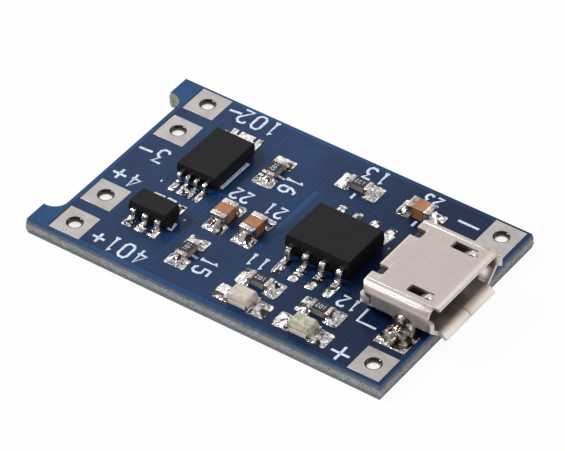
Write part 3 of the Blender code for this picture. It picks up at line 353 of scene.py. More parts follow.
dress(plate, "masked_laminate", mask_on_laminate, sawn, torn_edge, routed)
for face in plate.data.polygons:
    middle = face.center
    outside = max(abs(middle.x) - board_length / 2, abs(middle.y) - board_width / 2) > -TEAR_DEPTH * 2
    if abs(face.normal.z) > FACING:
        face.material_index = 0
    elif not outside:
        face.material_index = 3
    elif SCORE_DEPTH < middle.z < BOARD_TOP - SCORE_DEPTH:
        face.material_index = 2
    else:
        face.material_index = 1
shade(plate, 30)
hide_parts("circuit_board")

# Solder mask over copper: the same lacquer, darker and nearer violet where the pour lies under it.
mask_on_copper, shader, place = finish_for("mask_over_copper", 0.3)
shader.inputs["Specular IOR Level"].default_value = 0.2
lacquer = mottle(mask_on_copper, place, 2.5 * MM, 4, 0.35, 0.65, "#192c50", "#1a375c")
# Painted shade darkens this lacquer towards the socket end.
set_colour(mask_on_copper, shader, shade_towards_socket(mask_on_copper, place, lacquer, "#081d3c"))
roughen(mask_on_copper, shader, place, 0.35 * MM, 2, 0.006 * MM)

POUR_RISE = 0.018 * MM
POUR_EDGE = 0.015 * MM
# Each pour's low x, low y, high x and high y in millimetres.
POURS = ((-11.95, -8.15, -4.7, 8.15), (-4.6, -8.15, -0.14, 8.15), (-0.05, -8.15, 9.58, -2.58),
         (9.67, -8.15, 13.0, -2.58), (0.25, -2.49, 8.25, 4.02), (8.34, -2.49, 13.0, 4.02),
         (-0.05, 4.12, 4.08, 8.15), (4.17, 4.12, 5.97, 8.15), (6.06, 4.12, 13.0, 8.15))
pour = begin("copper_pour")
for low_x, low_y, high_x, high_y in POURS:
    add_block((low_x * MM, low_y * MM, BOARD_TOP - POUR_RISE),
              (high_x * MM, high_y * MM, BOARD_TOP + POUR_RISE))
pick_top()
bevel(POUR_EDGE, 2)
close(pour)
for terminal in TERMINALS:
    carve(pour, rod("drill", hole_centre(terminal), BARREL_RADIUS, -BOARD_TOP, BOARD_TOP * 2))
dress(pour, "masked_laminate", mask_on_copper)

# Terminals. Each is a square copper land on both faces with a plated barrel between them,
# all dipped in tin when the bare board was made. The tin is satin and slightly domed.

TIN_RISE = 0.035 * MM
LAND_EDGE = 0.02 * MM
HOLE_RADIUS = 0.43 * MM
RIM_ROUNDING = 0.14 * MM
# The ring of painted shade in the hole: where it starts and where it is full, below the board's top.
SHADE_RING_LOW = BOARD_TOP - 0.36 * MM
SHADE_RING_HIGH = BOARD_TOP - 0.24 * MM


def clouded(name, roughness, metallic, shades, relief):
    """A new material in two shades over a relief, both cloudy."""
    material, shader, place = finish_for(name, roughness, metallic)
    set_colour(material, shader, mottle(material, place, *shades))
    roughen(material, shader, place, *relief)
    return material


# Tinned land: hot tin levelled with an air knife, a pale satin metal with faint clouds.
tin = clouded("levelled_tin", 0.46, 1.0, (0.9 * MM, 3, 0.3, 0.7, "#bdb6b4", "#cec8c6"),
              (0.5 * MM, 3, 0.01 * MM, 0.5))

# Plated barrel: bright tin inside the hole, with a ring of painted shade under the upper rim and over the
# rim's rounding.
barrel_tin, shader, place = finish_for("barrel_tin", 0.12, 1.0)
level = add_node(barrel_tin, "ShaderNodeSeparateXYZ", {}, {"Vector": place}).outputs["Z"]
wet = mottle(barrel_tin, place, 0.6 * MM, 2, 0.3, 0.7, "#f2f0ee", "#fdfcfb")
set_colour(barrel_tin, shader, grade(barrel_tin, level, SHADE_RING_LOW, SHADE_RING_HIGH, wet, "#4a4541"))

for terminal in TERMINALS:
    low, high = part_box(terminal)
    centre = hole_centre(terminal)
    plating = begin(terminal.replace("_terminal", "_land"))
    add_block((low.x, low.y, BOARD_TOP - LAND_SINK), (high.x, high.y, BOARD_TOP + TIN_RISE))
    pick_top()
    bevel(LAND_EDGE, 3)
    close(plating)
    carve(plating, block("under_land", (low.x, centre.y - LAND_WIDTH / 2, 0),
                         (high.x, centre.y + LAND_WIDTH / 2, LAND_SINK)), "UNION")
    carve(plating, rod("barrel", centre, BARREL_RADIUS, LAND_SINK / 2, BOARD_TOP), "UNION")
    carve(plating, rod("drill", centre, HOLE_RADIUS, -BOARD_TOP, BOARD_TOP * 2))
    bpy.ops.object.mode_set(mode="EDIT")
    pick("EDGE", lambda at, along: abs((at.xy - centre.xy).length - HOLE_RADIUS) < HAIR
         and (at.z > BOARD_TOP or at.z < HAIR) and abs(along.z) < HAIR)
    bevel(RIM_ROUNDING, 4)
    close(plating, 40)
    dress(plating, "tinned_copper", tin, barrel_tin)
    # The hole's wall and rim take the barrel's material, with its ring of painted shade.
    for face in plating.data.polygons:
        if abs(face.normal.z) < 0.99 and (face.center.xy - centre.xy).length < HOLE_RADIUS + RIM_ROUNDING:
            face.material_index = 1
    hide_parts(terminal)

# Solder joints of the chips and lamps. Each end stands on a tinned land, and the solder
# climbs the end in a hollow slope. It froze bright and mirrors the room, and dark patches of painted
# reflection lie in its colour.

LAND_RISE = 0.05 * MM
CHIP_SPAN = 3.1 * MM
CHIP_LAND = Vector((1.0, 1.48, 0)) * MM
LAMP_SPAN = 3.97 * MM
LAMP_LAND = Vector((1.3, 1.38, 0)) * MM
LAND_CORNER = 0.1 * MM
SOLDER_TUCK = 0.06 * MM
SOLDER_MARGIN = 0.03 * MM
RIPPLE = 0.45 * MM
RIPPLE_DEPTH = 0.06 * MM
RIPPLE_START = 0.1 * MM
RIPPLE_SHIFT = (7.3, 3.1, 5.7)
CAGE_CORE = 0.4
CREST_SPREAD = 2.2
# Each row of a fillet, from toe to rim: its place, height and width, as shares.
FILLET_ROWS = ((0.0, 1.0, 0.9), (1 / 3, 0.5, 1.0), (2 / 3, 0.2, 1.0))
LAMPS = ("charging_lamp", "ready_lamp")
RESISTORS = ("lamp_resistor_1", "lamp_resistor_2", "current_resistor", "sense_resistor", "supply_resistor")
CAPACITORS = ("guard_capacitor", "battery_capacitor", "input_capacitor")

# Reflowed solder: frozen tin alloy, near to a mirror, with slow ripples, and dark clouds of painted
# reflection in its colour.
solder = clouded("reflowed_solder", 0.1, 1.0, (0.7 * MM, 1, 0.38, 0.45, "#4a4541", "#e7e4e2"),
                 (0.42 * MM, 1, 0.09 * MM))


def add_land_plate(inner, outer, width, rise=LAND_RISE, corner=LAND_CORNER):
    """A tinned land along X with rounded corners, added to the open piece."""
    add_block((inner, -width / 2, 0), (outer, width / 2, rise))
    middle = (inner + outer) / 2
    half = (outer - inner) / 2
    pick("EDGE", lambda at, along: abs(along.z) > rise / 2 and abs(abs(at.x - middle) - half) < HAIR
         and abs(abs(at.y) - width / 2) < HAIR and at.z < rise)
    bevel(corner, 4)


def raise_row(row, rise, width):
    """Lift the corners in one row of a cage of solder, all but its rims, and leave them selected."""
    pick("VERT", lambda at, facing: abs(at.x - row) < HAIR and at.z > LAND_RISE - HAIR
         and abs(at.y) < width * CAGE_CORE)
    move(0, 0, rise)


def add_fillet(toe, outer, width, crest_width, climb):
    """A cage of solder on a land: high at the toe and sloping out to the land's rim."""
    add_block((toe, -width / 2, LAND_RISE / 2), (outer, width / 2, LAND_RISE))
    bpy.ops.mesh.subdivide(number_cuts=2)
    for share, rise, spread in FILLET_ROWS:
        raise_row(toe + (outer - toe) * share, climb * rise, width)
        crest = spread * crest_width / width * CREST_SPREAD
        stretch((1, crest, 1))


def join(first, *others):
    """Make one piece of several."""
    take(first)
    for piece in others:
        piece.select_set(True)
    bpy.ops.object.join()
    shade(first, 50)


def copy_to(piece, name, matrix):
    """A copy of a finished piece with its own mesh, in its own place."""
    twin = piece.copy()
    twin.data = piece.data.copy()
    twin.data.transform(matrix)
    twin.name = name
    twin.data.name = name
    bpy.context.scene.collection.objects.link(twin)
    return twin


def turned(x, y, z, angle):
    """The move to a point after a turn about the upright axis."""
    return Matrix.Translation((x, y, z)) @ Matrix.Rotation(angle, 4, "Z")


def solder_pair(name, length, top_width, climb, span, land):
    """The two soldered lands of a component that lies along X, modelled once."""
    half = begin(name)
    outer = span / 2
    add_fillet(length / 2 - SOLDER_TUCK, outer - SOLDER_MARGIN, land.y - SOLDER_MARGIN * 2, top_width, climb)
    close(half)
    refine(half, "SUBSURF", levels=3, render_levels=3)
    pad = begin("land")
    add_land_plate(outer - land.x, outer, land.y)
    close(pad)
    around = turned(0, 0, 0, math.pi)
    join(half, pad, copy_to(half, "other_half", around), copy_to(pad, "other_land", around))
    return half


def ruffle(piece, size, depth, seed):
    """Press a slow wave into a piece, different for each seed, so that no two joints are alike."""
    shift = Vector([seed * step for step in RIPPLE_SHIFT])
    normals = [vert.normal.copy() for vert in piece.data.vertices]
    for vert, normal in zip(piece.data.vertices, normals):
        height = min(max((vert.co.z - BOARD_TOP - LAND_RISE) / RIPPLE_START, 0.0), 1.0)
        vert.co += normal * depth * height * noise.noise(vert.co / size + shift)


def seat_of(node):
    """Where a component lies on the board, turned to its long side."""
    low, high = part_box(node)
    turn = math.pi / 2 if high.y - low.y > high.x - low.x else 0.0
    return turned((low.x + high.x) / 2, (low.y + high.y) / 2, BOARD_TOP, turn)


chip_joint = solder_pair("chip_joint", length=1.6 * MM, top_width=0.82 * MM, climb=0.34 * MM,
                         span=CHIP_SPAN, land=CHIP_LAND)
capacitor_joint = solder_pair("capacitor_joint", length=1.7 * MM, top_width=1.05 * MM, climb=0.78 * MM,
                              span=CHIP_SPAN, land=CHIP_LAND)
lamp_joint = solder_pair("lamp_joint", length=2.0 * MM, top_width=1.1 * MM, climb=0.24 * MM,
                         span=LAMP_SPAN, land=LAMP_LAND)
seed = 0
for kinds, joint in ((RESISTORS, chip_joint), (CAPACITORS, capacitor_joint), (LAMPS, lamp_joint)):
    for kind in kinds:
        node = kind + "_base" if kind in LAMPS else kind
        made = copy_to(joint, kind + "_solder", seat_of(node))
        seed += 1
        ruffle(made, RIPPLE, RIPPLE_DEPTH, seed)
        dress(made, "tinned_copper", solder)
    bpy.data.objects.remove(joint, do_unlink=True)

# Chip resistors and capacitors. A resistor is a white ceramic bar with a black glaze on
# top, a capacitor is a fired brown ceramic block, and both have dipped and plated ends.

TERMINATION = 0.3 * MM
CAPACITOR_BAND = 0.4 * MM
END_PROUD = 0.02 * MM
CHIP_ROUNDING = 0.04 * MM
GLAZE_DEPTH = 0.03 * MM

# Alumina: fired, slightly rough and stained to a dull stone grey by flux.
alumina = clouded("fired_alumina", 0.5, 0.0, (0.2 * MM, 3, 0.3, 0.7, "#8b8579", "#a79f90"),
                  (0.06 * MM, 2, 0.004 * MM))

# Overglaze: printed black glass over the resistive track, smooth with a slight swell.
overglaze = clouded("black_overglaze", 0.24, 0.0, (0.4 * MM, 3, 0.3, 0.7, "#0f0f10", "#1d1c1c"),
                    (0.3 * MM, 2, 0.012 * MM))

# Capacitor ceramic: fired barium titanate, matt tan brown with fine darker grains.
titanate, shader, place = finish_for("fired_titanate", 0.48)
clouds = mottle(titanate, place, 0.5 * MM, 4, 0.3, 0.7, "#966543", "#ab774e")
set_colour(titanate, shader, mottle(titanate, place, 0.07 * MM, 2, 0.6, 0.75, clouds, "#7a5138"))
roughen(titanate, shader, place, 0.08 * MM, 3, 0.006 * MM)

# Plated end: tin over silver, wetted by the solder, satin and slightly lumpy.
end_plate = clouded("plated_end", 0.26, 1.0, (0.4 * MM, 2, 0.35, 0.55, "#a79c96", "#e8ddd7"),
                    (0.2 * MM, 3, 0.03 * MM))


def build_chip(node, glazed):
    """A chip that stands where its solid stands: bar, ends and, on a resistor, the glaze."""
    low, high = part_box(node)
    seat = seat_of(node)
    along = max(high.x - low.x, high.y - low.y)
    across = min(high.x - low.x, high.y - low.y)
    bottom, top = low.z - BOARD_TOP, high.z - BOARD_TOP
    band = TERMINATION if glazed else CAPACITOR_BAND
    shoulder = along / 2 - band
    chip = begin(node + "_body")
    inner = across / 2 - END_PROUD
    add_block((-shoulder, -inner, bottom + END_PROUD), (shoulder, inner, top - END_PROUD))
    for side in (-1, 1):
        pick("FACE", lambda at, facing: facing.x * side > FACING and at.x * side > shoulder - HAIR)
        grow((0, 0, 0))
        taller = (top - bottom) / (top - bottom - END_PROUD * 2)
        stretch((1, across / 2 / inner, taller), (0, 0, (top + bottom) / 2))
        grow((side * band, 0, 0))
    pick("EDGE", lambda at, along_edge: abs(at.x) > shoulder - HAIR)
    bevel(CHIP_ROUNDING, 3)
    if glazed:
        pick("FACE", lambda at, facing: abs(at.x) < shoulder / 2 and facing.z > FACING)
        bpy.ops.mesh.inset(thickness=GLAZE_DEPTH)
        grow((0, 0, GLAZE_DEPTH / 2))
    close(chip, 40)
    dress(chip, "black_glaze" if glazed else "brown_ceramic",
          alumina if glazed else titanate, end_plate, overglaze)
    for face in chip.data.polygons:
        if abs(face.center.x) > shoulder - HAIR * 4:
            face.material_index = 1
        elif glazed and face.center.z > top - END_PROUD - HAIR:
            face.material_index = 2
    chip.data.transform(seat)
    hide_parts(node)


for node in RESISTORS:
    build_chip(node, True)
for node in CAPACITORS:
    build_chip(node, False)

# Chips in moulded packages. Each body is black epoxy pressed round a lead frame, with sides
# that lean in from the parting line. The legs are tinned copper, cut and bent in one stroke,
# and each foot sits in solder on its own land.

MOULD_DRAFT = 0.13
MOULD_ROUNDING = 0.05 * MM
LEG_LEAN = 0.12
SWITCH_PITCH = 0.65 * MM
JOINED_RISE = LAND_RISE * 1.2
# Each row of the solder under a foot: its place and height, as shares.
FOOT_ROWS = ((0.0, 0.2), (0.25, 0.8), (0.5, 1.0), (0.75, 1.0), (1.0, 0.1))
FOOT_TUCK = 0.08 * MM
FOOT_MARGIN = 0.02 * MM
FOOT_RIPPLE = 0.3 * MM
FOOT_RIPPLE_DEPTH = 0.04 * MM
# Each chip's legs, and the lands and solder under them. The spans reach over both rows.
CHIPS = {
    "charger_chip": {"legs": 8, "thickness": 0.2 * MM, "foot": 0.62 * MM, "bend": 0.17 * MM,
                     "rounding": 0.05 * MM, "foot_span": 6.0 * MM, "span": 7.76 * MM,
                     "land": Vector((1.75, 0.62, 0)) * MM, "swell": 0.13 * MM, "corner": 0.28 * MM},
    "switch_chip": {"legs": 8, "thickness": 0.14 * MM, "foot": 0.5 * MM, "bend": 0.1 * MM,
                    "rounding": 0.035 * MM, "foot_span": 6.4 * MM, "span": 7.34 * MM,
                    "land": Vector((1.15, 0.42, 0)) * MM, "swell": 0.1 * MM, "corner": 0.05 * MM},
    "guard_chip": {"legs": 6, "thickness": 0.15 * MM, "foot": 0.38 * MM, "bend": 0.1 * MM,
                   "rounding": 0.035 * MM, "foot_span": 2.8 * MM, "span": 3.6 * MM,
                   "land": Vector((1.0, 0.66, 0)) * MM, "swell": 0.1 * MM, "corner": 0.05 * MM},
}

# Moulding compound: epoxy full of fine silica, matt charcoal with a faint orange-peel skin.
compound = clouded("moulding_compound", 0.62, 0.0, (0.9 * MM, 4, 0.3, 0.7, "#100f0f", "#161515"),
                   (0.05 * MM, 3, 0.006 * MM))
compound.node_tree.nodes["Principled BSDF"].inputs["Specular IOR Level"].default_value = 0.2

# Tinned leg: plated copper with solder drawn up over it, bright with soft ripples, and dark clouds of painted
# reflection in its colour.
leg_tin = clouded("tinned_leg", 0.13, 1.0, (0.4 * MM, 1, 0.38, 0.46, "#7d7976", "#e6e3e1"),
                  (0.26 * MM, 1, 0.04 * MM))


def bend_line(corners, radii, steps=6):
    """A line through corner points with an arc at each inner corner."""
    corners = [Vector(corner) for corner in corners]
    line = [corners[0]]
    for before, corner, after, radius in zip(corners, corners[1:], corners[2:], radii):
        arriving = (before - corner).normalized()
        leaving = (after - corner).normalized()
        half_angle = arriving.angle(leaving) / 2
        centre = corner + (arriving + leaving).normalized() * radius / math.sin(half_angle)
        first = corner + arriving * radius / math.tan(half_angle) - centre
        last = corner + leaving * radius / math.tan(half_angle) - centre
        sweep = first.angle(last)
        for step in range(steps + 1):
            share = step / steps
            arm = first * math.sin((1 - share) * sweep) + last * math.sin(share * sweep)
            line.append(centre + arm / math.sin(sweep))
    line.append(corners[-1])
    return line


def draw_strip(line, width):
    """Add a ribbon across X that follows a line in Y and Z to the open piece."""
    bpy.ops.mesh.primitive_plane_add(size=width)
    pick("VERT", lambda at, facing: at.y > 0)
    move(0, line[1].x - width / 2, line[1].y)
    pick("VERT", lambda at, facing: abs(at.y + width / 2) < HAIR / 10 and abs(at.z) < HAIR / 10)
    move(0, line[0].x + width / 2, line[0].y)
    pick("EDGE", lambda at, along: (at.yz - line[1]).length < HAIR / 10)
    for start, end in zip(line[1:], line[2:]):
        grow((0, end.x - start.x, end.y - start.y))


def build_package_body(prefix):
    """The moulded body of a chip."""
    node = prefix + "_body"
    low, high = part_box(node)
    centre = (low + high) / 2
    size = high - low
    body = begin(prefix + "_package")
    add_block(low, high)
    bpy.ops.mesh.bisect(plane_co=centre, plane_no=(0, 0, 1))
    pick("VERT", lambda at, facing: abs(at.z - centre.z) > HAIR)
    inset = size.z * MOULD_DRAFT
    stretch((1 - inset / size.x, 1 - inset / size.y, 1), centre)
    pick("EDGE", lambda at, along: abs(at.z - centre.z) > HAIR)
    bevel(MOULD_ROUNDING, 3)
    close(body, 30)
    dress(body, "black_epoxy", compound)
    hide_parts(node)
    return centre


def build_legs(prefix, chip):
    """The legs of a chip: one is bent, and the others are its copies."""
    low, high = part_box(prefix + "_lead_1")
    size = high - low
    count = chip["legs"]
    thickness = chip["thickness"]
    bend = chip["bend"]
    heel = size.y - chip["foot"]
    knee = heel - (size.z - thickness) * LEG_LEAN
    line = bend_line(((0, size.z - thickness / 2), (knee, size.z - thickness / 2),
                      (heel, thickness / 2), (size.y, thickness / 2)), (bend, bend))
    leg = begin("leg")
    draw_strip(line, size.x)
    close(leg)
    refine(leg, "SOLIDIFY", thickness=thickness, offset=0.0, use_even_offset=True)
    refine(leg, "BEVEL", width=chip["rounding"], segments=3, limit_method="ANGLE",
           angle_limit=math.radians(60))
    shade(leg, 50)
    spots = []
    for number in range(1, count + 1):
        node = prefix + "_lead_" + str(number)
        low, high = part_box(node)
        outward = 1 if number > count / 2 else -1
        root = low.y if outward > 0 else high.y
        x = (low.x + high.x) / 2
        spot = turned(x, root, low.z, 0.0 if outward > 0 else math.pi)
        twin = copy_to(leg, prefix + "_leg_" + str(number), spot)
        dress(twin, "tinned_lead", leg_tin)
        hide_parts(node)
        spots.append((x, outward))
    bpy.data.objects.remove(leg, do_unlink=True)
    return spots


def build_feet(prefix, spots, centre_y, chip):
    """The lands and the solder under the feet of a chip."""
    land = chip["land"]
    outer = chip["span"] / 2
    heel = chip["foot_span"] / 2 - chip["foot"]
    joint = begin("foot_joint")
    start = heel - FOOT_TUCK
    end = outer - FOOT_MARGIN
    width = land.y - FOOT_MARGIN * 2
    add_block((start, -width / 2, LAND_RISE / 2), (end, width / 2, LAND_RISE))
    bpy.ops.mesh.subdivide(number_cuts=3)
    for share, rise in FOOT_ROWS:
        raise_row(start + (end - start) * share, chip["swell"] * rise, width)
    close(joint)
    refine(joint, "SUBSURF", levels=3, render_levels=3)
    pad = begin("pad")
    add_land_plate(outer - land.x, outer, land.y, LAND_RISE, chip["corner"])
    close(pad)
    join(joint, pad)
    for index, (x, outward) in enumerate(spots):
        spot = turned(x, centre_y, BOARD_TOP, outward * math.pi / 2)
        twin = copy_to(joint, prefix + "_foot_solder_" + str(index + 1), spot)
        ruffle(twin, FOOT_RIPPLE, FOOT_RIPPLE_DEPTH, index + len(prefix))
        dress(twin, "tinned_copper", solder)
    bpy.data.objects.remove(joint, do_unlink=True)


for prefix, chip in CHIPS.items():
    centre = build_package_body(prefix)
    spots = build_legs(prefix, chip)
    build_feet(prefix, spots, centre.y, chip)
    if prefix != "switch_chip":
        continue
    for side, name in ((-1, "near"), (1, "far")):
        joined = begin("switch_chip_" + name + "_joined_land")
        add_land_plate(chip["span"] / 2 - chip["land"].x, chip["span"] / 2, SWITCH_PITCH + chip["land"].y,
                       JOINED_RISE, chip["corner"])
        close(joined)
        joined.data.transform(turned(centre.x, centre.y, BOARD_TOP, side * math.pi / 2))
        dress(joined, "tinned_copper", solder)

# Indicator lamps. A white glass-filled base with plated, scalloped ends carries a chip under
# a block of milky clear resin that was moulded over a whole strip of lamps and sawn apart.

SCALLOP_RADIUS = 0.27 * MM
LAMP_END = 0.36 * MM
LENS_ROUNDING = 0.12 * MM
LENS_OVERRUN = 0.15
LENS_CROWN = (0.8, 0.88, 1)
CRYSTAL_LOW = Vector((-0.16, -0.15, 0)) * MM
CRYSTAL_HIGH = Vector((0.14, 0.15, 0.14)) * MM
CRYSTAL_ROUNDING = 0.02 * MM

# Lamp base: white filled laminate, satin.
base_white = clouded("lamp_laminate", 0.5, 0.0, (0.3 * MM, 3, 0.3, 0.7, "#d8d4c8", "#ebe7dc"),
                     (0.08 * MM, 3, 0.004 * MM))

# Lamp chip: a speck of pale yellow crystal on gold.
crystal, shader, place = finish_for("lamp_crystal", 0.3)
set_colour(crystal, shader, mottle(crystal, place, 0.1 * MM, 2, 0.3, 0.7, "#d9c06a", "#f0e2a4"))

LENS_TINTS = {"charging_lamp": ("#ddd3c4", "#f7ebe2"), "ready_lamp": ("#a9c09c", "#f3e2d6")}


def build_lamp(prefix):
    """One lamp: base with plated ends, crystal and lens."""
    low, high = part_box(prefix + "_base")
    middle = (low + high) / 2
    half = (high.x - low.x) / 2
    base = begin(prefix + "_frame")
    add_block(low, high)
    for side in (-1, 1):
        pick("FACE", lambda at, facing: True)
        bpy.ops.mesh.bisect(plane_co=(middle.x + side * (half - LAMP_END), 0, 0), plane_no=(1, 0, 0))
    close(base)
    for side in (-1, 1):
        end = middle + Vector((side * half, 0, 0))
        carve(base, rod("scallop", end, SCALLOP_RADIUS, low.z - MM, high.z + MM))
    dress(base, "white_laminate", base_white, end_plate)
    for face in base.data.polygons:
        face.material_index = 1 if abs(face.center.x - middle.x) > half - LAMP_END else 0
    shade(base, 40)
    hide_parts(prefix + "_base")
    low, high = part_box(prefix + "_lens")
    crystal_piece = begin(prefix + "_crystal")
    seat = Vector((middle.x, middle.y, low.z))
    add_block(seat + CRYSTAL_LOW, seat + CRYSTAL_HIGH)
    bevel(CRYSTAL_ROUNDING, 2)
    close(crystal_piece)
    dress(crystal_piece, "gold_plate", crystal)

    # Lamp resin: clear epoxy with a little filler, glossy outside and cloudy within.
    first, second = LENS_TINTS[prefix]
    resin = clouded(prefix + "_resin", 0.18, 0.0, (0.3 * MM, 4, 0.4, 0.6, first, second),
                    (0.3 * MM, 2, 0.02 * MM))
    resin.node_tree.nodes["Principled BSDF"].inputs["Transmission Weight"].default_value = 0.45
    lens = begin(prefix + "_cover")
    overrun = Vector(((high.x - low.x) * LENS_OVERRUN, 0, 0))
    add_block(low - overrun, high + overrun)
    pick_top()
    stretch(LENS_CROWN, (middle.x, middle.y, 0))
    bpy.ops.mesh.select_all(action="SELECT")
    bevel(LENS_ROUNDING, 4)
    close(lens, 40)
    dress(lens, "clear_resin", resin)
    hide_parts(prefix + "_lens")


for prefix in LAMPS:
    build_lamp(prefix)

# Socket shell. One stamped sheet of nickel-plated steel, folded round so that its two
# edges meet at a seam in the floor, with a flared mouth, rear ears, soldered tabs and two
# windows whose catches are pressed down into the plug's way.

SHEET = 0.25 * MM
SHELL_WIDTH = 7.6 * MM
SHELL_HEIGHT = 2.47 * MM
SHELL_FLOOR_WIDTH = 5.5 * MM
SHELL_GAP = 0.03 * MM
KNEE = 1.0 * MM
SHELL_LENGTH = 4.9 * MM
SEAM = 0.05 * MM
ROOF_BEND = 0.55 * MM
LOWER_BEND = 0.28 * MM
LIP_STEPS = 8
CREASE = 0.05 * MM
CORNER_RADIUS = 0.55 * MM
CREASE_OUT = 0.6
CREASE_LEANS = (0.0, math.radians(34))
SHEET_ROUNDING = 0.02 * MM
# Each lip's length and angle at the mouth.
ROOF_LIP = (0.45 * MM, 0.3)
SIDE_LIP = (0.5 * MM, 0.85)
FLOOR_LIP = (0.82 * MM, 0.95)
SLOPE_LIP = 0.2 * MM
SLOPE_LIP_START = 0.03 * MM
# Stations along the shell, from its rear.
EAR_REAR = 0.22 * MM
EAR_FRONT = 0.66 * MM
SLIT_FRONT = 0.78 * MM
TAB_REAR = 2.45 * MM
TAB_FRONT = 3.95 * MM
# Ears and tabs, and the roof's notches, windows, catches and dimples.
EAR_DROP = 0.86 * MM
EAR_SLOT = 0.04 * MM
EAR_CURL = 0.22 * MM
EAR_CURL_RADIUS = 0.2 * MM
EAR_RETURN = 0.44 * MM
TAB_RISE = 0.06 * MM
TAB_REACH = 4.7 * MM
TAB_BEND = 0.28 * MM
NOTCH_DEPTH = 0.72 * MM
NOTCH_CENTRE = 2.06 * MM
NOTCH_WIDTH = 0.82 * MM
NOTCH_CORNER = 0.16 * MM
WINDOW_START = 2.65 * MM
WINDOW_END = 4.35 * MM
WINDOW_CENTRE = 2.43 * MM
WINDOW_WIDTH = 0.66 * MM
WINDOW_CORNER = 0.08 * MM
CATCH_ROOT = 4.5 * MM
CATCH_HEEL = 4.05 * MM
CATCH_TIP = 3.55 * MM
CATCH_RISE = 0.03 * MM
CATCH_DROP = 0.3 * MM
CATCH_BEND = 0.25 * MM
CATCH_WIDTH = 0.46 * MM
CATCH_THICKNESS = 0.2 * MM
DIMPLE_SIZE = Vector((0.24, 0.18, 0.09)) * MM
DIMPLE_X = 4.38 * MM
DIMPLE_ASIDE = 0.06 * MM
DIMPLE_SINK = 0.02 * MM

SOCKET_REAR = 8.7 * MM
wall_y = SHELL_WIDTH / 2 - SHEET / 2
roof_z = BOARD_TOP + SHELL_GAP + SHELL_HEIGHT - SHEET / 2
floor_z = BOARD_TOP + SHELL_GAP + SHEET / 2
knee_z = BOARD_TOP + KNEE
bend_z = roof_z - ROOF_BEND
ear_top = roof_z - EAR_DROP

# Nickel plate: bright nickel over rolled steel, satin along the roll, faintly warm.
nickel, shader, place = finish_for("nickel_plated_steel", 0.42, 1.0)
rolled = add_node(nickel, "ShaderNodeMapping", {}, {"Vector": place, "Scale": (1, 8, 8)}).outputs["Vector"]
set_colour(nickel, shader, mottle(nickel, rolled, 0.6 * MM, 4, 0.3, 0.7, "#cbc0b9", "#d8cec7"))
roughen(nickel, shader, rolled, 0.5 * MM, 4, 0.0015 * MM)


def lip(length, angle, outward):
    """Steps of a lip that curves out of its plane up to an angle."""
    steps = []
    for step in range(LIP_STEPS):
        lean = angle * (step + 0.5) / LIP_STEPS
        steps.append(Vector((math.cos(lean), 0, 0)) * length / LIP_STEPS
                     + Vector(outward) * math.sin(lean) * length / LIP_STEPS)
    return steps


def edge_of_sheet(test):
    """Select the open edges of the sheet whose middle passes a test."""
    bpy.ops.mesh.select_mode(type="EDGE")
    bpy.ops.mesh.select_all(action="DESELECT")
    mesh = bpy.context.edit_object.data
    bm = bmesh.from_edit_mesh(mesh)
    for edge in bm.edges:
        if edge.is_boundary and test((edge.verts[0].co + edge.verts[1].co) / 2):
            edge.select_set(True)
    bmesh.update_edit_mesh(mesh)


def drawn(name, drawing, lines):
    """A piece made from a curve, drawn as open lines through points."""
    drawing.dimensions = "3D"
    for line in lines:
        spline = drawing.splines.new("POLY")
        spline.points.add(len(line) - 1)
        for point, spot in zip(spline.points, line):
            point.co = (*spot, 1.0)
    piece = bpy.data.objects.new(name, drawing)
    bpy.context.scene.collection.objects.link(piece)
    take(piece)
    bpy.ops.object.convert(target="MESH")
    return bpy.context.view_layer.objects.active


section = bend_line(((SEAM / 2, floor_z), (SHELL_FLOOR_WIDTH / 2, floor_z), (wall_y, knee_z),
                     (wall_y, roof_z), (0.0, roof_z)), (LOWER_BEND, LOWER_BEND, ROOF_BEND), 7)
wall_low = max(point.y for point in section if point.x > wall_y - HAIR and point.y < knee_z + LOWER_BEND)
split = next(index for index, point in enumerate(section) if point.y > wall_low + HAIR)
section.insert(split, Vector((wall_y, ear_top)))
outline = bpy.data.curves.new("section", "CURVE")
shell = drawn("socket_sheet", outline, [[(SOCKET_REAR, *point) for point in section]])
bpy.ops.object.mode_set(mode="EDIT")
bpy.ops.mesh.select_mode(type="EDGE")
bpy.ops.mesh.select_all(action="SELECT")
stations = (0.0, EAR_REAR, EAR_FRONT, SLIT_FRONT, TAB_REAR, TAB_FRONT, SHELL_LENGTH)
for start, end in zip(stations, stations[1:]):
    grow((end - start, 0, 0))


def cut_away(at, facing):
    """True where the sheet is cut: round the rear ear, at the tab and over the tails."""
    x = at.x - SOCKET_REAR
    upright = wall_low < at.z < bend_z
    above_ear = upright and x < SLIT_FRONT and at.z > ear_top
    beside_ear = upright and (x < EAR_REAR or EAR_FRONT < x < SLIT_FRONT)
    at_tab = TAB_REAR < x < TAB_FRONT and floor_z + HAIR < at.z < wall_low
    over_tails = x < EAR_FRONT and at.z < floor_z + HAIR
    return above_ear or beside_ear or at_tab or over_tails


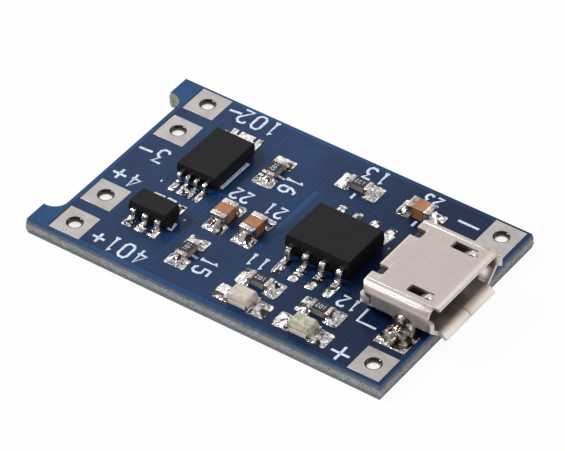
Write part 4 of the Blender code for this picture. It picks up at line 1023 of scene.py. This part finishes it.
pick("FACE", cut_away)
bpy.ops.mesh.delete(type="FACE")
front = SOCKET_REAR + SHELL_LENGTH - HAIR
for test, steps in (
        (lambda at: at.x > front and at.z > roof_z - HAIR, lip(*ROOF_LIP, (0, 0, 1))),
        (lambda at: at.x > front and wall_low < at.z < bend_z, lip(*SIDE_LIP, (0, 1, 0))),
        (lambda at: at.x > front and at.z < floor_z + HAIR, lip(*FLOOR_LIP, (0, 0, -1)))):
    edge_of_sheet(test)
    for step in steps:
        grow(step)
edge_of_sheet(lambda at: front < at.x < front + HAIR * 2
              and floor_z + SLOPE_LIP_START < at.z < wall_low - HAIR)
grow((SLOPE_LIP, 0, 0))
edge_of_sheet(lambda at: abs(at.z - wall_low) < HAIR and TAB_REAR < at.x - SOCKET_REAR < TAB_FRONT)
foot_level = BOARD_TOP + TAB_RISE + SHEET / 2
tab_line = bend_line(((wall_y, wall_low), (wall_y, foot_level), (TAB_REACH, foot_level)), (TAB_BEND,), 6)
for start, end in zip(tab_line, tab_line[1:]):
    grow((0, end.x - start.x, end.y - start.y))
edge_of_sheet(lambda at: abs(at.x - SOCKET_REAR - EAR_REAR) < HAIR and wall_low < at.z < ear_top)
curl = bend_line(((0, 0), (-EAR_CURL, 0), (-EAR_CURL, -EAR_RETURN)), (EAR_CURL_RADIUS,), 6)
for start, end in zip(curl, curl[1:]):
    grow((end.x - start.x, end.y - start.y, 0))
bpy.ops.mesh.select_all(action="SELECT")
bpy.ops.mesh.remove_doubles(threshold=HAIR / 20)
bpy.ops.object.mode_set(mode="OBJECT")
refine(shell, "MIRROR", use_axis=(False, True, False), merge_threshold=HAIR / 10)
bpy.ops.object.mode_set(mode="EDIT")
bpy.ops.mesh.select_all(action="SELECT")
bpy.ops.mesh.normals_make_consistent(inside=False)
bpy.ops.object.mode_set(mode="OBJECT")
refine(shell, "SOLIDIFY", thickness=SHEET, offset=0.0, use_even_offset=True)


def roof_opening(start, end, middle, width, corner):
    """A round-cornered hole through the shell's roof."""
    tool = begin("opening")
    add_block((SOCKET_REAR + start, middle - width / 2, roof_z - SHEET),
              (SOCKET_REAR + end, middle + width / 2, roof_z + SHEET))
    pick("EDGE", lambda at, along: abs(along.z) > SHEET)
    bevel(corner, 5)
    close(tool)
    carve(shell, tool)


def crease(side, lean):
    """A fine line that the folding die left along the roof's bend, at an angle round the bend."""
    tool = block("crease", (SOCKET_REAR - MM, -CREASE, -CREASE), (SOCKET_REAR + SHELL_LENGTH, CREASE, CREASE))
    reach = ROOF_BEND + SHEET / 2 + CREASE * CREASE_OUT
    y = side * (wall_y - ROOF_BEND + math.sin(lean) * reach)
    spot = Matrix.Translation((0, y, bend_z + math.cos(lean) * reach))
    tool.data.transform(spot @ Matrix.Rotation(math.pi / 4 - side * lean, 4, "X"))
    carve(shell, tool)


def round_corner(side):
    """Round off the roof's rear corner with its bend, which leaves the slot over the ear."""
    flank = side * (wall_y + SHEET / 2)
    inner = flank - side * CORNER_RADIUS
    outer = flank + side * SHEET
    tool = block("corner", (SOCKET_REAR - SHEET, min(inner, outer), ear_top + EAR_SLOT),
                 (SOCKET_REAR + CORNER_RADIUS, max(inner, outer), roof_z + SHEET))
    middle = Vector((SOCKET_REAR + CORNER_RADIUS, inner, 0))
    carve(tool, rod("corner_round", middle, CORNER_RADIUS, BOARD_TOP, roof_z + MM))
    carve(shell, tool)


for side in (-1, 1):
    for lean in CREASE_LEANS:
        crease(side, lean)
    round_corner(side)
    roof_opening(-NOTCH_DEPTH, NOTCH_DEPTH, side * NOTCH_CENTRE, NOTCH_WIDTH, NOTCH_CORNER)
    roof_opening(WINDOW_START, WINDOW_END, side * WINDOW_CENTRE, WINDOW_WIDTH, WINDOW_CORNER)
    catch = begin("catch")
    catch_line = bend_line(((-CATCH_ROOT, roof_z), (-CATCH_HEEL, roof_z + CATCH_RISE),
                            (-CATCH_TIP, roof_z - CATCH_DROP)), (CATCH_BEND,), 8)
    draw_strip(catch_line, CATCH_WIDTH)
    close(catch)
    refine(catch, "SOLIDIFY", thickness=CATCH_THICKNESS, offset=0.0, use_even_offset=True)
    catch.data.transform(turned(SOCKET_REAR, side * WINDOW_CENTRE, 0, math.pi / 2))
    carve(shell, catch, "UNION")
    dimple = begin("dimple")
    bpy.ops.mesh.primitive_uv_sphere_add(segments=32, ring_count=16, radius=1)
    stretch(DIMPLE_SIZE)
    move(SOCKET_REAR + DIMPLE_X, side * WINDOW_CENTRE - DIMPLE_ASIDE, roof_z + SHEET / 2 - DIMPLE_SINK)
    close(dimple)
    carve(shell, dimple, "UNION")
refine(shell, "BEVEL", width=SHEET_ROUNDING, segments=2, limit_method="ANGLE", angle_limit=math.radians(50))
shade(shell, 40)
dress(shell, "nickel_plate", nickel)
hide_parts("socket_shell")

# Solder on the shell's tabs. Each is a lump of tin alloy, fed by hand, that wets the tab and
# the land under it and climbs the shell's wall.

# Solder fed by hand: bright tin under a skin of brown flux, with dark clouds in its colour that are partly
# the flux and partly painted shade and reflection.
flux_and_painted_shade = clouded("flux_and_painted_shade_solder", 0.17, 1.0, (0.8 * MM, 2, 0.43, 0.6, "#3a2b20", "#cbc2b8"),
                 (0.45 * MM, 1, 0.06 * MM))

JOINT_X = 11.9 * MM
JOINT_Y = 4.47 * MM
JOINT_SIZE = Vector((2.0, 1.5, 1.24)) * MM
CLIMB_SIZE = Vector((1.45, 0.9, 1.36)) * MM
JOINT_LIFT = 0.01 * MM
JOINT_WAVE = 0.5 * MM
JOINT_WAVE_DEPTH = 0.16 * MM
TAB_LAND = Vector((2.26, 1.75, 0)) * MM
TAB_LAND_Y = 4.525 * MM
TAB_LAND_EDGE = 0.03 * MM


def add_ball(size):
    """Add a ball squashed to a size to the open piece."""
    bpy.ops.mesh.primitive_uv_sphere_add(segments=48, ring_count=24, radius=1, location=(0, 0, 0))
    stretch(size / 2)


for side, name in ((-1, "near"), (1, "far")):
    dome = begin(name + "_tab_solder")
    add_ball(JOINT_SIZE)
    bpy.ops.mesh.bisect(plane_co=(0, 0, 0), plane_no=(0, 0, 1), clear_inner=True, use_fill=True)
    bpy.ops.mesh.select_all(action="SELECT")
    move(JOINT_X, side * JOINT_Y, BOARD_TOP + JOINT_LIFT)
    close(dome, 60)
    climb = begin("climb")
    add_ball(CLIMB_SIZE)
    move(JOINT_X, side * (wall_y + SHEET / 2), BOARD_TOP + CLIMB_SIZE.z / 2)
    close(climb, 60)
    carve(dome, climb, "UNION")
    ruffle(dome, JOINT_WAVE, JOINT_WAVE_DEPTH, 40 + side)
    dress(dome, "tinned_copper", flux_and_painted_shade)
near_land = begin("near_tab_land")
tab_land = Vector((JOINT_X, -TAB_LAND_Y, BOARD_TOP))
add_block(tab_land - TAB_LAND / 2 - Vector((0, 0, LAND_SINK)),
          tab_land + TAB_LAND / 2 + Vector((0, 0, LAND_RISE)))
pick_top()
bevel(TAB_LAND_EDGE, 2)
close(near_land)
dress(near_land, "tinned_copper", solder)

# Core and contacts of the socket. The core is moulded black nylon, and the five contacts
# are gold-flashed springs pressed into it.

# Core nylon: glass-filled, matt black.
nylon = clouded("moulded_nylon", 0.55, 0.0, (0.5 * MM, 3, 0.3, 0.7, "#1d1b1a", "#2b2826"),
                (0.08 * MM, 3, 0.006 * MM))

# Contact spring: gold flash over nickel, a pale satin gold with duller clouds.
gold = clouded("gold_flash", 0.28, 1.0, (0.4 * MM, 3, 0.3, 0.7, "#c9a860", "#e3cd92"),
               (0.15 * MM, 3, 0.005 * MM))

SIDE_CLEARANCE = 0.05 * MM
ROOF_CLEARANCE = 0.02 * MM
CORE_REAR = 0.12 * MM
CORE_WAIST = 0.74
CORE_ROUNDING = 0.06 * MM
TONGUE_LENGTH = 3.0 * MM
TONGUE_ROOT = 0.2 * MM
TONGUE_WIDTH = 3.7 * MM
TONGUE_THICKNESS = 0.55 * MM
TONGUE_HEIGHT = 1.62 * MM
TONGUE_NOSE = 0.3 * MM
TONGUE_ROUNDING = 0.08 * MM

low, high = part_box("socket_core")
core = begin("socket_insulator")
inner_wall = SHELL_WIDTH / 2 - SHEET - SIDE_CLEARANCE
roof_under = roof_z - SHEET / 2 - ROOF_CLEARANCE
add_block((SOCKET_REAR + CORE_REAR, -inner_wall, knee_z), (high.x - TONGUE_LENGTH, inner_wall, roof_under))
pick("FACE", lambda at, facing: facing.z < -FACING)
grow((0, 0, low.z - knee_z))
stretch((1, CORE_WAIST, 1))
bpy.ops.mesh.select_all(action="SELECT")
bevel(CORE_ROUNDING, 3)
close(core)
tongue = begin("tongue")
tongue_z = BOARD_TOP + SHELL_GAP + TONGUE_HEIGHT
add_block((high.x - TONGUE_LENGTH - TONGUE_ROOT, -TONGUE_WIDTH / 2, tongue_z - TONGUE_THICKNESS / 2),
          (high.x, TONGUE_WIDTH / 2, tongue_z + TONGUE_THICKNESS / 2))
pick("EDGE", lambda at, along: at.x > high.x - TONGUE_NOSE)
bevel(TONGUE_ROUNDING, 3)
close(tongue)
carve(core, tongue, "UNION")
dress(core, "black_nylon", nylon)
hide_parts("socket_core")
tail_joint = begin("tail_joint")
add_fillet(toe=-0.05 * MM, outer=0.28 * MM, width=0.36 * MM, crest_width=0.2 * MM, climb=0.1 * MM)
close(tail_joint)
refine(tail_joint, "SUBSURF", levels=3, render_levels=3)
tail_land = begin("tail_land")
add_land_plate(inner=-0.7 * MM, outer=0.3 * MM, width=0.4 * MM)
close(tail_land)
join(tail_joint, tail_land)
for number in range(1, 6):
    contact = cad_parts["socket_contact_" + str(number)]
    contact.data.materials.clear()
    contact.data.materials.append(gold)
    low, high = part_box("socket_contact_" + str(number))
    spot = turned(low.x, (low.y + high.y) / 2, BOARD_TOP, math.pi)
    made = copy_to(tail_joint, "contact_solder_" + str(number), spot)
    dress(made, "tinned_copper", solder)
bpy.data.objects.remove(tail_joint, do_unlink=True)

# White print. Screened epoxy ink that stands slightly proud of the mask: outlines, signs
# and plain numbers.

INK_WIDTH = 0.19 * MM
INK_FLATNESS = 0.22
NARROWNESS = 0.76
DIGIT_ROWS = 6
DIGIT_COLUMNS = 4
DIGIT_GAP = 2.6
DIGITS = {
    "0": [((0, 1), (0, 5), (1, 6), (3, 6), (4, 5), (4, 1), (3, 0), (1, 0), (0, 1))],
    "1": [((1, 5), (2, 6), (2, 0)), ((1, 0), (3, 0))],
    "2": [((0, 5), (1, 6), (3, 6), (4, 5), (4, 4), (0, 0), (4, 0))],
    "3": [((0, 6), (4, 6), (2, 3.6), (3, 3.6), (4, 2.6), (4, 1), (3, 0), (1, 0), (0, 1))],
    "4": [((3, 0), (3, 6), (0, 2), (4, 2))],
    "5": [((4, 6), (0, 6), (0, 3.6), (3, 3.6), (4, 2.6), (4, 1), (3, 0), (1, 0), (0, 1))],
    "6": [((3.5, 6), (1.6, 6), (0, 4), (0, 1), (1, 0), (3, 0), (4, 1), (4, 2.4), (3, 3.4), (0, 3.2))],
}

# Ink: white epoxy ink, chalky, with the mask showing through where it is thin.
ink = clouded("screened_ink", 0.55, 0.0, (0.16 * MM, 3, 0.3, 0.6, "#a9bbd6", "#dbe6f4"),
              (0.07 * MM, 2, 0.006 * MM))

strokes = []


def stroke(*points):
    """One drawn line of the print, through points in millimetres."""
    strokes.append([Vector((x, y, 0)) * MM for x, y in points])


def number_at(text, x, y, height, turn):
    """A plain number whose middle lies at a point, turned by quarter turns."""
    unit = height / DIGIT_ROWS
    narrow = unit * NARROWNESS
    pitch = DIGIT_COLUMNS + DIGIT_GAP
    run = (len(text) * pitch - DIGIT_GAP) * narrow
    spot = turned(x, y, 0, turn * math.pi / 2)
    for index, digit in enumerate(text):
        start = index * pitch * narrow - run / 2
        for line in DIGITS[digit]:
            placed = [spot @ Vector((start + column * narrow, row * unit - height / 2, 0))
                      for column, row in line]
            stroke(*[(point.x, point.y) for point in placed])


def print_ink(name, lines, width, level, material, slot):
    """Lay drawn lines as flattened beads of ink at a level."""
    drawing = bpy.data.curves.new(name, "CURVE")
    drawing.bevel_depth = width / 2
    drawing.bevel_resolution = 1
    drawing.use_fill_caps = True
    piece = drawn(name, drawing, lines)
    piece.data.transform(Matrix.Translation((0, 0, level)) @ Matrix.Diagonal((1, 1, INK_FLATNESS, 1)))
    shade(piece, 60)
    dress(piece, slot, material)


# The print as it lies on the board, in millimetres: each plus sign's middle and half length, each
# drawn line's points, and each number's middle, height and quarter turns.
PLUS_SIGNS = ((-8.55, -7.4, 0.45), (-11.17, -1.7, 0.5), (9.82, -7.5, 0.66))
MINUS_SIGNS = (((-9.17, 7.51), (-8.28, 7.62)), ((-11.72, 1.14), (-10.73, 1.22)),
               ((8.91, 6.88), (10.45, 6.88)))
CORNER_MARK = ((8.96, -3.23), (8.97, -4.47), (10.36, -4.46))
NUMBERS = (("401", -6.4, -7.4, 1.3, 2), ("102", -6.85, 7.5, 1.3, 2), ("3", -10.0, 1.2, 1.3, 2),
           ("4", -9.96, -1.77, 1.3, 2), ("11", 0.87, -3.57, 1.03, 2), ("12", 7.69, -3.51, 0.96, 2),
           ("13", 2.33, 7.47, 1.13, 2), ("21", -1.0, 1.0, 0.98, 2), ("22", -3.6, 1.0, 0.98, 2),
           ("23", 6.58, 7.55, 0.85, 2), ("16", -1.58, 3.56, 1.1, 3), ("15", -1.5, -5.8, 1.1, 3))
OUTLINES = (((2.17, 5.27), (2.17, 4.73)), ((-2.88, 3.92), (-2.28, 3.84)), ((-2.88, -5.38), (-2.36, -5.45)),
            ((6.82, 5.28), (6.80, 4.73)), ((6.47, 3.28), (6.35, 2.38)), ((-5.12, 0.8), (-5.12, 3.8)),
            ((-5.04, 0.8), (-5.04, 3.8)), ((6.8, 2.14), (6.9, 2.14)), ((-8.64, -0.72), (-8.54, -0.72)),
            ((-5.21, -2.96), (-5.11, -2.96)), ((-5.57, -4.19), (-5.26, -4.23), (-5.41, -3.55)),
            ((-8.27, -1.93), (-7.46, -1.89)), ((-7.25, -1.85), (-6.58, -1.86)))
for x, y, half in PLUS_SIGNS:
    stroke((x - half, y), (x + half, y))
    stroke((x, y - half), (x, y + half))
for line in (*MINUS_SIGNS, CORNER_MARK):
    stroke(*line)
for number in NUMBERS:
    number_at(*number)
for line in OUTLINES:
    stroke(*line)
print_ink("white_print", strokes, INK_WIDTH, BOARD_TOP + POUR_RISE, ink, "masked_laminate")

# Resistor codes: plain numbers in white glass on the black overglaze.
CODE_HEIGHT = 0.3
CODE_WIDTH = 0.045 * MM
CODES = {"lamp_resistor_1": "102", "lamp_resistor_2": "102", "current_resistor": "122",
         "sense_resistor": "102", "supply_resistor": "101"}
for node, code in CODES.items():
    strokes.clear()
    low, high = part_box(node)
    crosswise = high.y - low.y > high.x - low.x
    middle = (low + high) / 2 / MM
    number_at(code, middle.x, middle.y, CODE_HEIGHT, 3 if crosswise else 2)
    print_ink(node + "_code", strokes, CODE_WIDTH, high.z, ink, "black_glaze")

# Camera at the photograph's angle, a white floor and soft studio light.

AZIMUTH = math.radians(35.1)
ELEVATION = math.radians(41.0)
DISTANCE = 271.8 * MM
ASIDE = 0.2135 * MM
ABOVE = 0.025 * MM
SENSOR_WIDTH = 36.0
LENS = 276.57
back = Vector((math.sin(AZIMUTH) * math.cos(ELEVATION), -math.cos(AZIMUTH) * math.cos(ELEVATION),
               math.sin(ELEVATION)))
right = Vector((math.cos(AZIMUTH), math.sin(AZIMUTH), 0))
up = back.cross(right)
camera = bpy.data.objects.new("camera", bpy.data.cameras.new("camera"))
bpy.context.scene.collection.objects.link(camera)
bpy.context.scene.camera = camera
camera.location = Vector((0, 0, BOARD_TOP)) + back * DISTANCE + right * ASIDE + up * ABOVE
camera.rotation_euler = (-back).to_track_quat("-Z", "Y").to_euler()
camera.data.sensor_width = SENSOR_WIDTH
camera.data.lens = LENS
camera.data.clip_start = 0.01
camera.data.clip_end = 10.0

# Floor: matt white paper, which the camera and mirrors see as almost plain white.
FLOOR_GLOW = 0.95
paper, shader, place = finish_for("white_paper", 0.9)
set_colour(paper, shader, mottle(paper, place, 20 * MM, 2, 0.3, 0.7, "#e6e6e6", "#ebebeb"))
rays = add_node(paper, "ShaderNodeLightPath", {}, {})
seen = add_node(paper, "ShaderNodeMath", {"operation": "MAXIMUM"},
                {0: rays.outputs["Is Camera Ray"], 1: rays.outputs["Is Glossy Ray"]}).outputs[0]
seen = add_node(paper, "ShaderNodeMath", {"operation": "MAXIMUM"},
                {0: seen, 1: rays.outputs["Is Transmission Ray"]}).outputs[0]
share = add_node(paper, "ShaderNodeMath", {"operation": "MULTIPLY"}, {0: seen, 1: FLOOR_GLOW}).outputs[0]
glow = add_node(paper, "ShaderNodeEmission", {}, {"Color": (1, 1, 1, 1), "Strength": 1.0})
blend = add_node(paper, "ShaderNodeMixShader", {}, {0: share, 1: shader.outputs[0], 2: glow.outputs[0]})
paper.node_tree.links.new(blend.outputs[0], paper.node_tree.nodes["Material Output"].inputs["Surface"])
bpy.ops.object.select_all(action="DESELECT")
bpy.ops.mesh.primitive_plane_add(size=3.0, location=(0, 0, -HAIR))
floor = bpy.context.view_layer.objects.active
floor.name = "floor"
floor.data.materials.append(paper)

# Room: white all round and above, with the dark shape of the camera and its stand on one side.
ROOM_STRENGTH = 1.2
# How high above the floor, as a sine, and how bright.
ROOM_LEVELS = ((0.001, 0.35), (0.2, 0.4), (0.8, 0.4), (0.86, 0.2), (0.91, 0.2), (0.97, 0.7))
# A lamp panel, a soft box and the dark side: the way to each, the cosines at which its soft rim
# starts and ends, and its level.
PATCHES = (((0.62, 0.62, 0.48), 0.84, 0.94, 1.35), ((-0.8, 0.55, 0.25), 0.7, 0.98, 1.15),
           (tuple(back), 0.87, 0.95, 0.12))
SUN_ENERGY = 2.3
SUN_ANGLE = math.radians(14)
SUN_LEFT = 0.9
SUN_BEHIND = 0.3
SUN_HEIGHT = 0.95
world = bpy.data.worlds.new("studio")
bpy.context.scene.world = world
world.use_nodes = True
direction = add_node(world, "ShaderNodeTexCoord", {}, {}).outputs["Generated"]
height = add_node(world, "ShaderNodeSeparateXYZ", {}, {"Vector": direction}).outputs["Z"]
room = add_node(world, "ShaderNodeValToRGB", {}, {0: height})
ramp = room.color_ramp
for position, level in ROOM_LEVELS:
    stop = ramp.elements.new(position)
    stop.color = (level, level, level, 1.0)
ramp.elements.remove(ramp.elements[0])
ramp.elements.remove(ramp.elements[-1])
light = world.node_tree.nodes["Background"]
around = room.outputs["Color"]
for way, start, full, level in PATCHES:
    facing = add_node(world, "ShaderNodeVectorMath", {"operation": "DOT_PRODUCT"},
                      {0: direction, 1: way}).outputs["Value"]
    around = grade(world, facing, start, full, around, (level, level, level, 1.0), "SMOOTHSTEP")
world.node_tree.links.new(around, light.inputs["Color"])
light.inputs["Strength"].default_value = ROOM_STRENGTH
backdrop = add_node(world, "ShaderNodeBackground", {}, {"Color": (1, 1, 1, 1), "Strength": 1.0})
rays = add_node(world, "ShaderNodeLightPath", {}, {})
sky = add_node(world, "ShaderNodeMixShader", {},
               {0: rays.outputs["Is Camera Ray"], 1: light.outputs[0], 2: backdrop.outputs[0]})
world.node_tree.links.new(sky.outputs[0], world.node_tree.nodes["World Output"].inputs["Surface"])

sun = bpy.data.objects.new("key_light", bpy.data.lights.new("key_light", "SUN"))
sun.data.energy = SUN_ENERGY
sun.data.angle = SUN_ANGLE
toward = -right * SUN_LEFT + Vector((-back.x, -back.y, 0)) * SUN_BEHIND + Vector((0, 0, SUN_HEIGHT))
sun.rotation_euler = toward.to_track_quat("Z", "Y").to_euler()
bpy.context.scene.collection.objects.link(sun)

bpy.context.scene.view_settings.view_transform = "Standard"
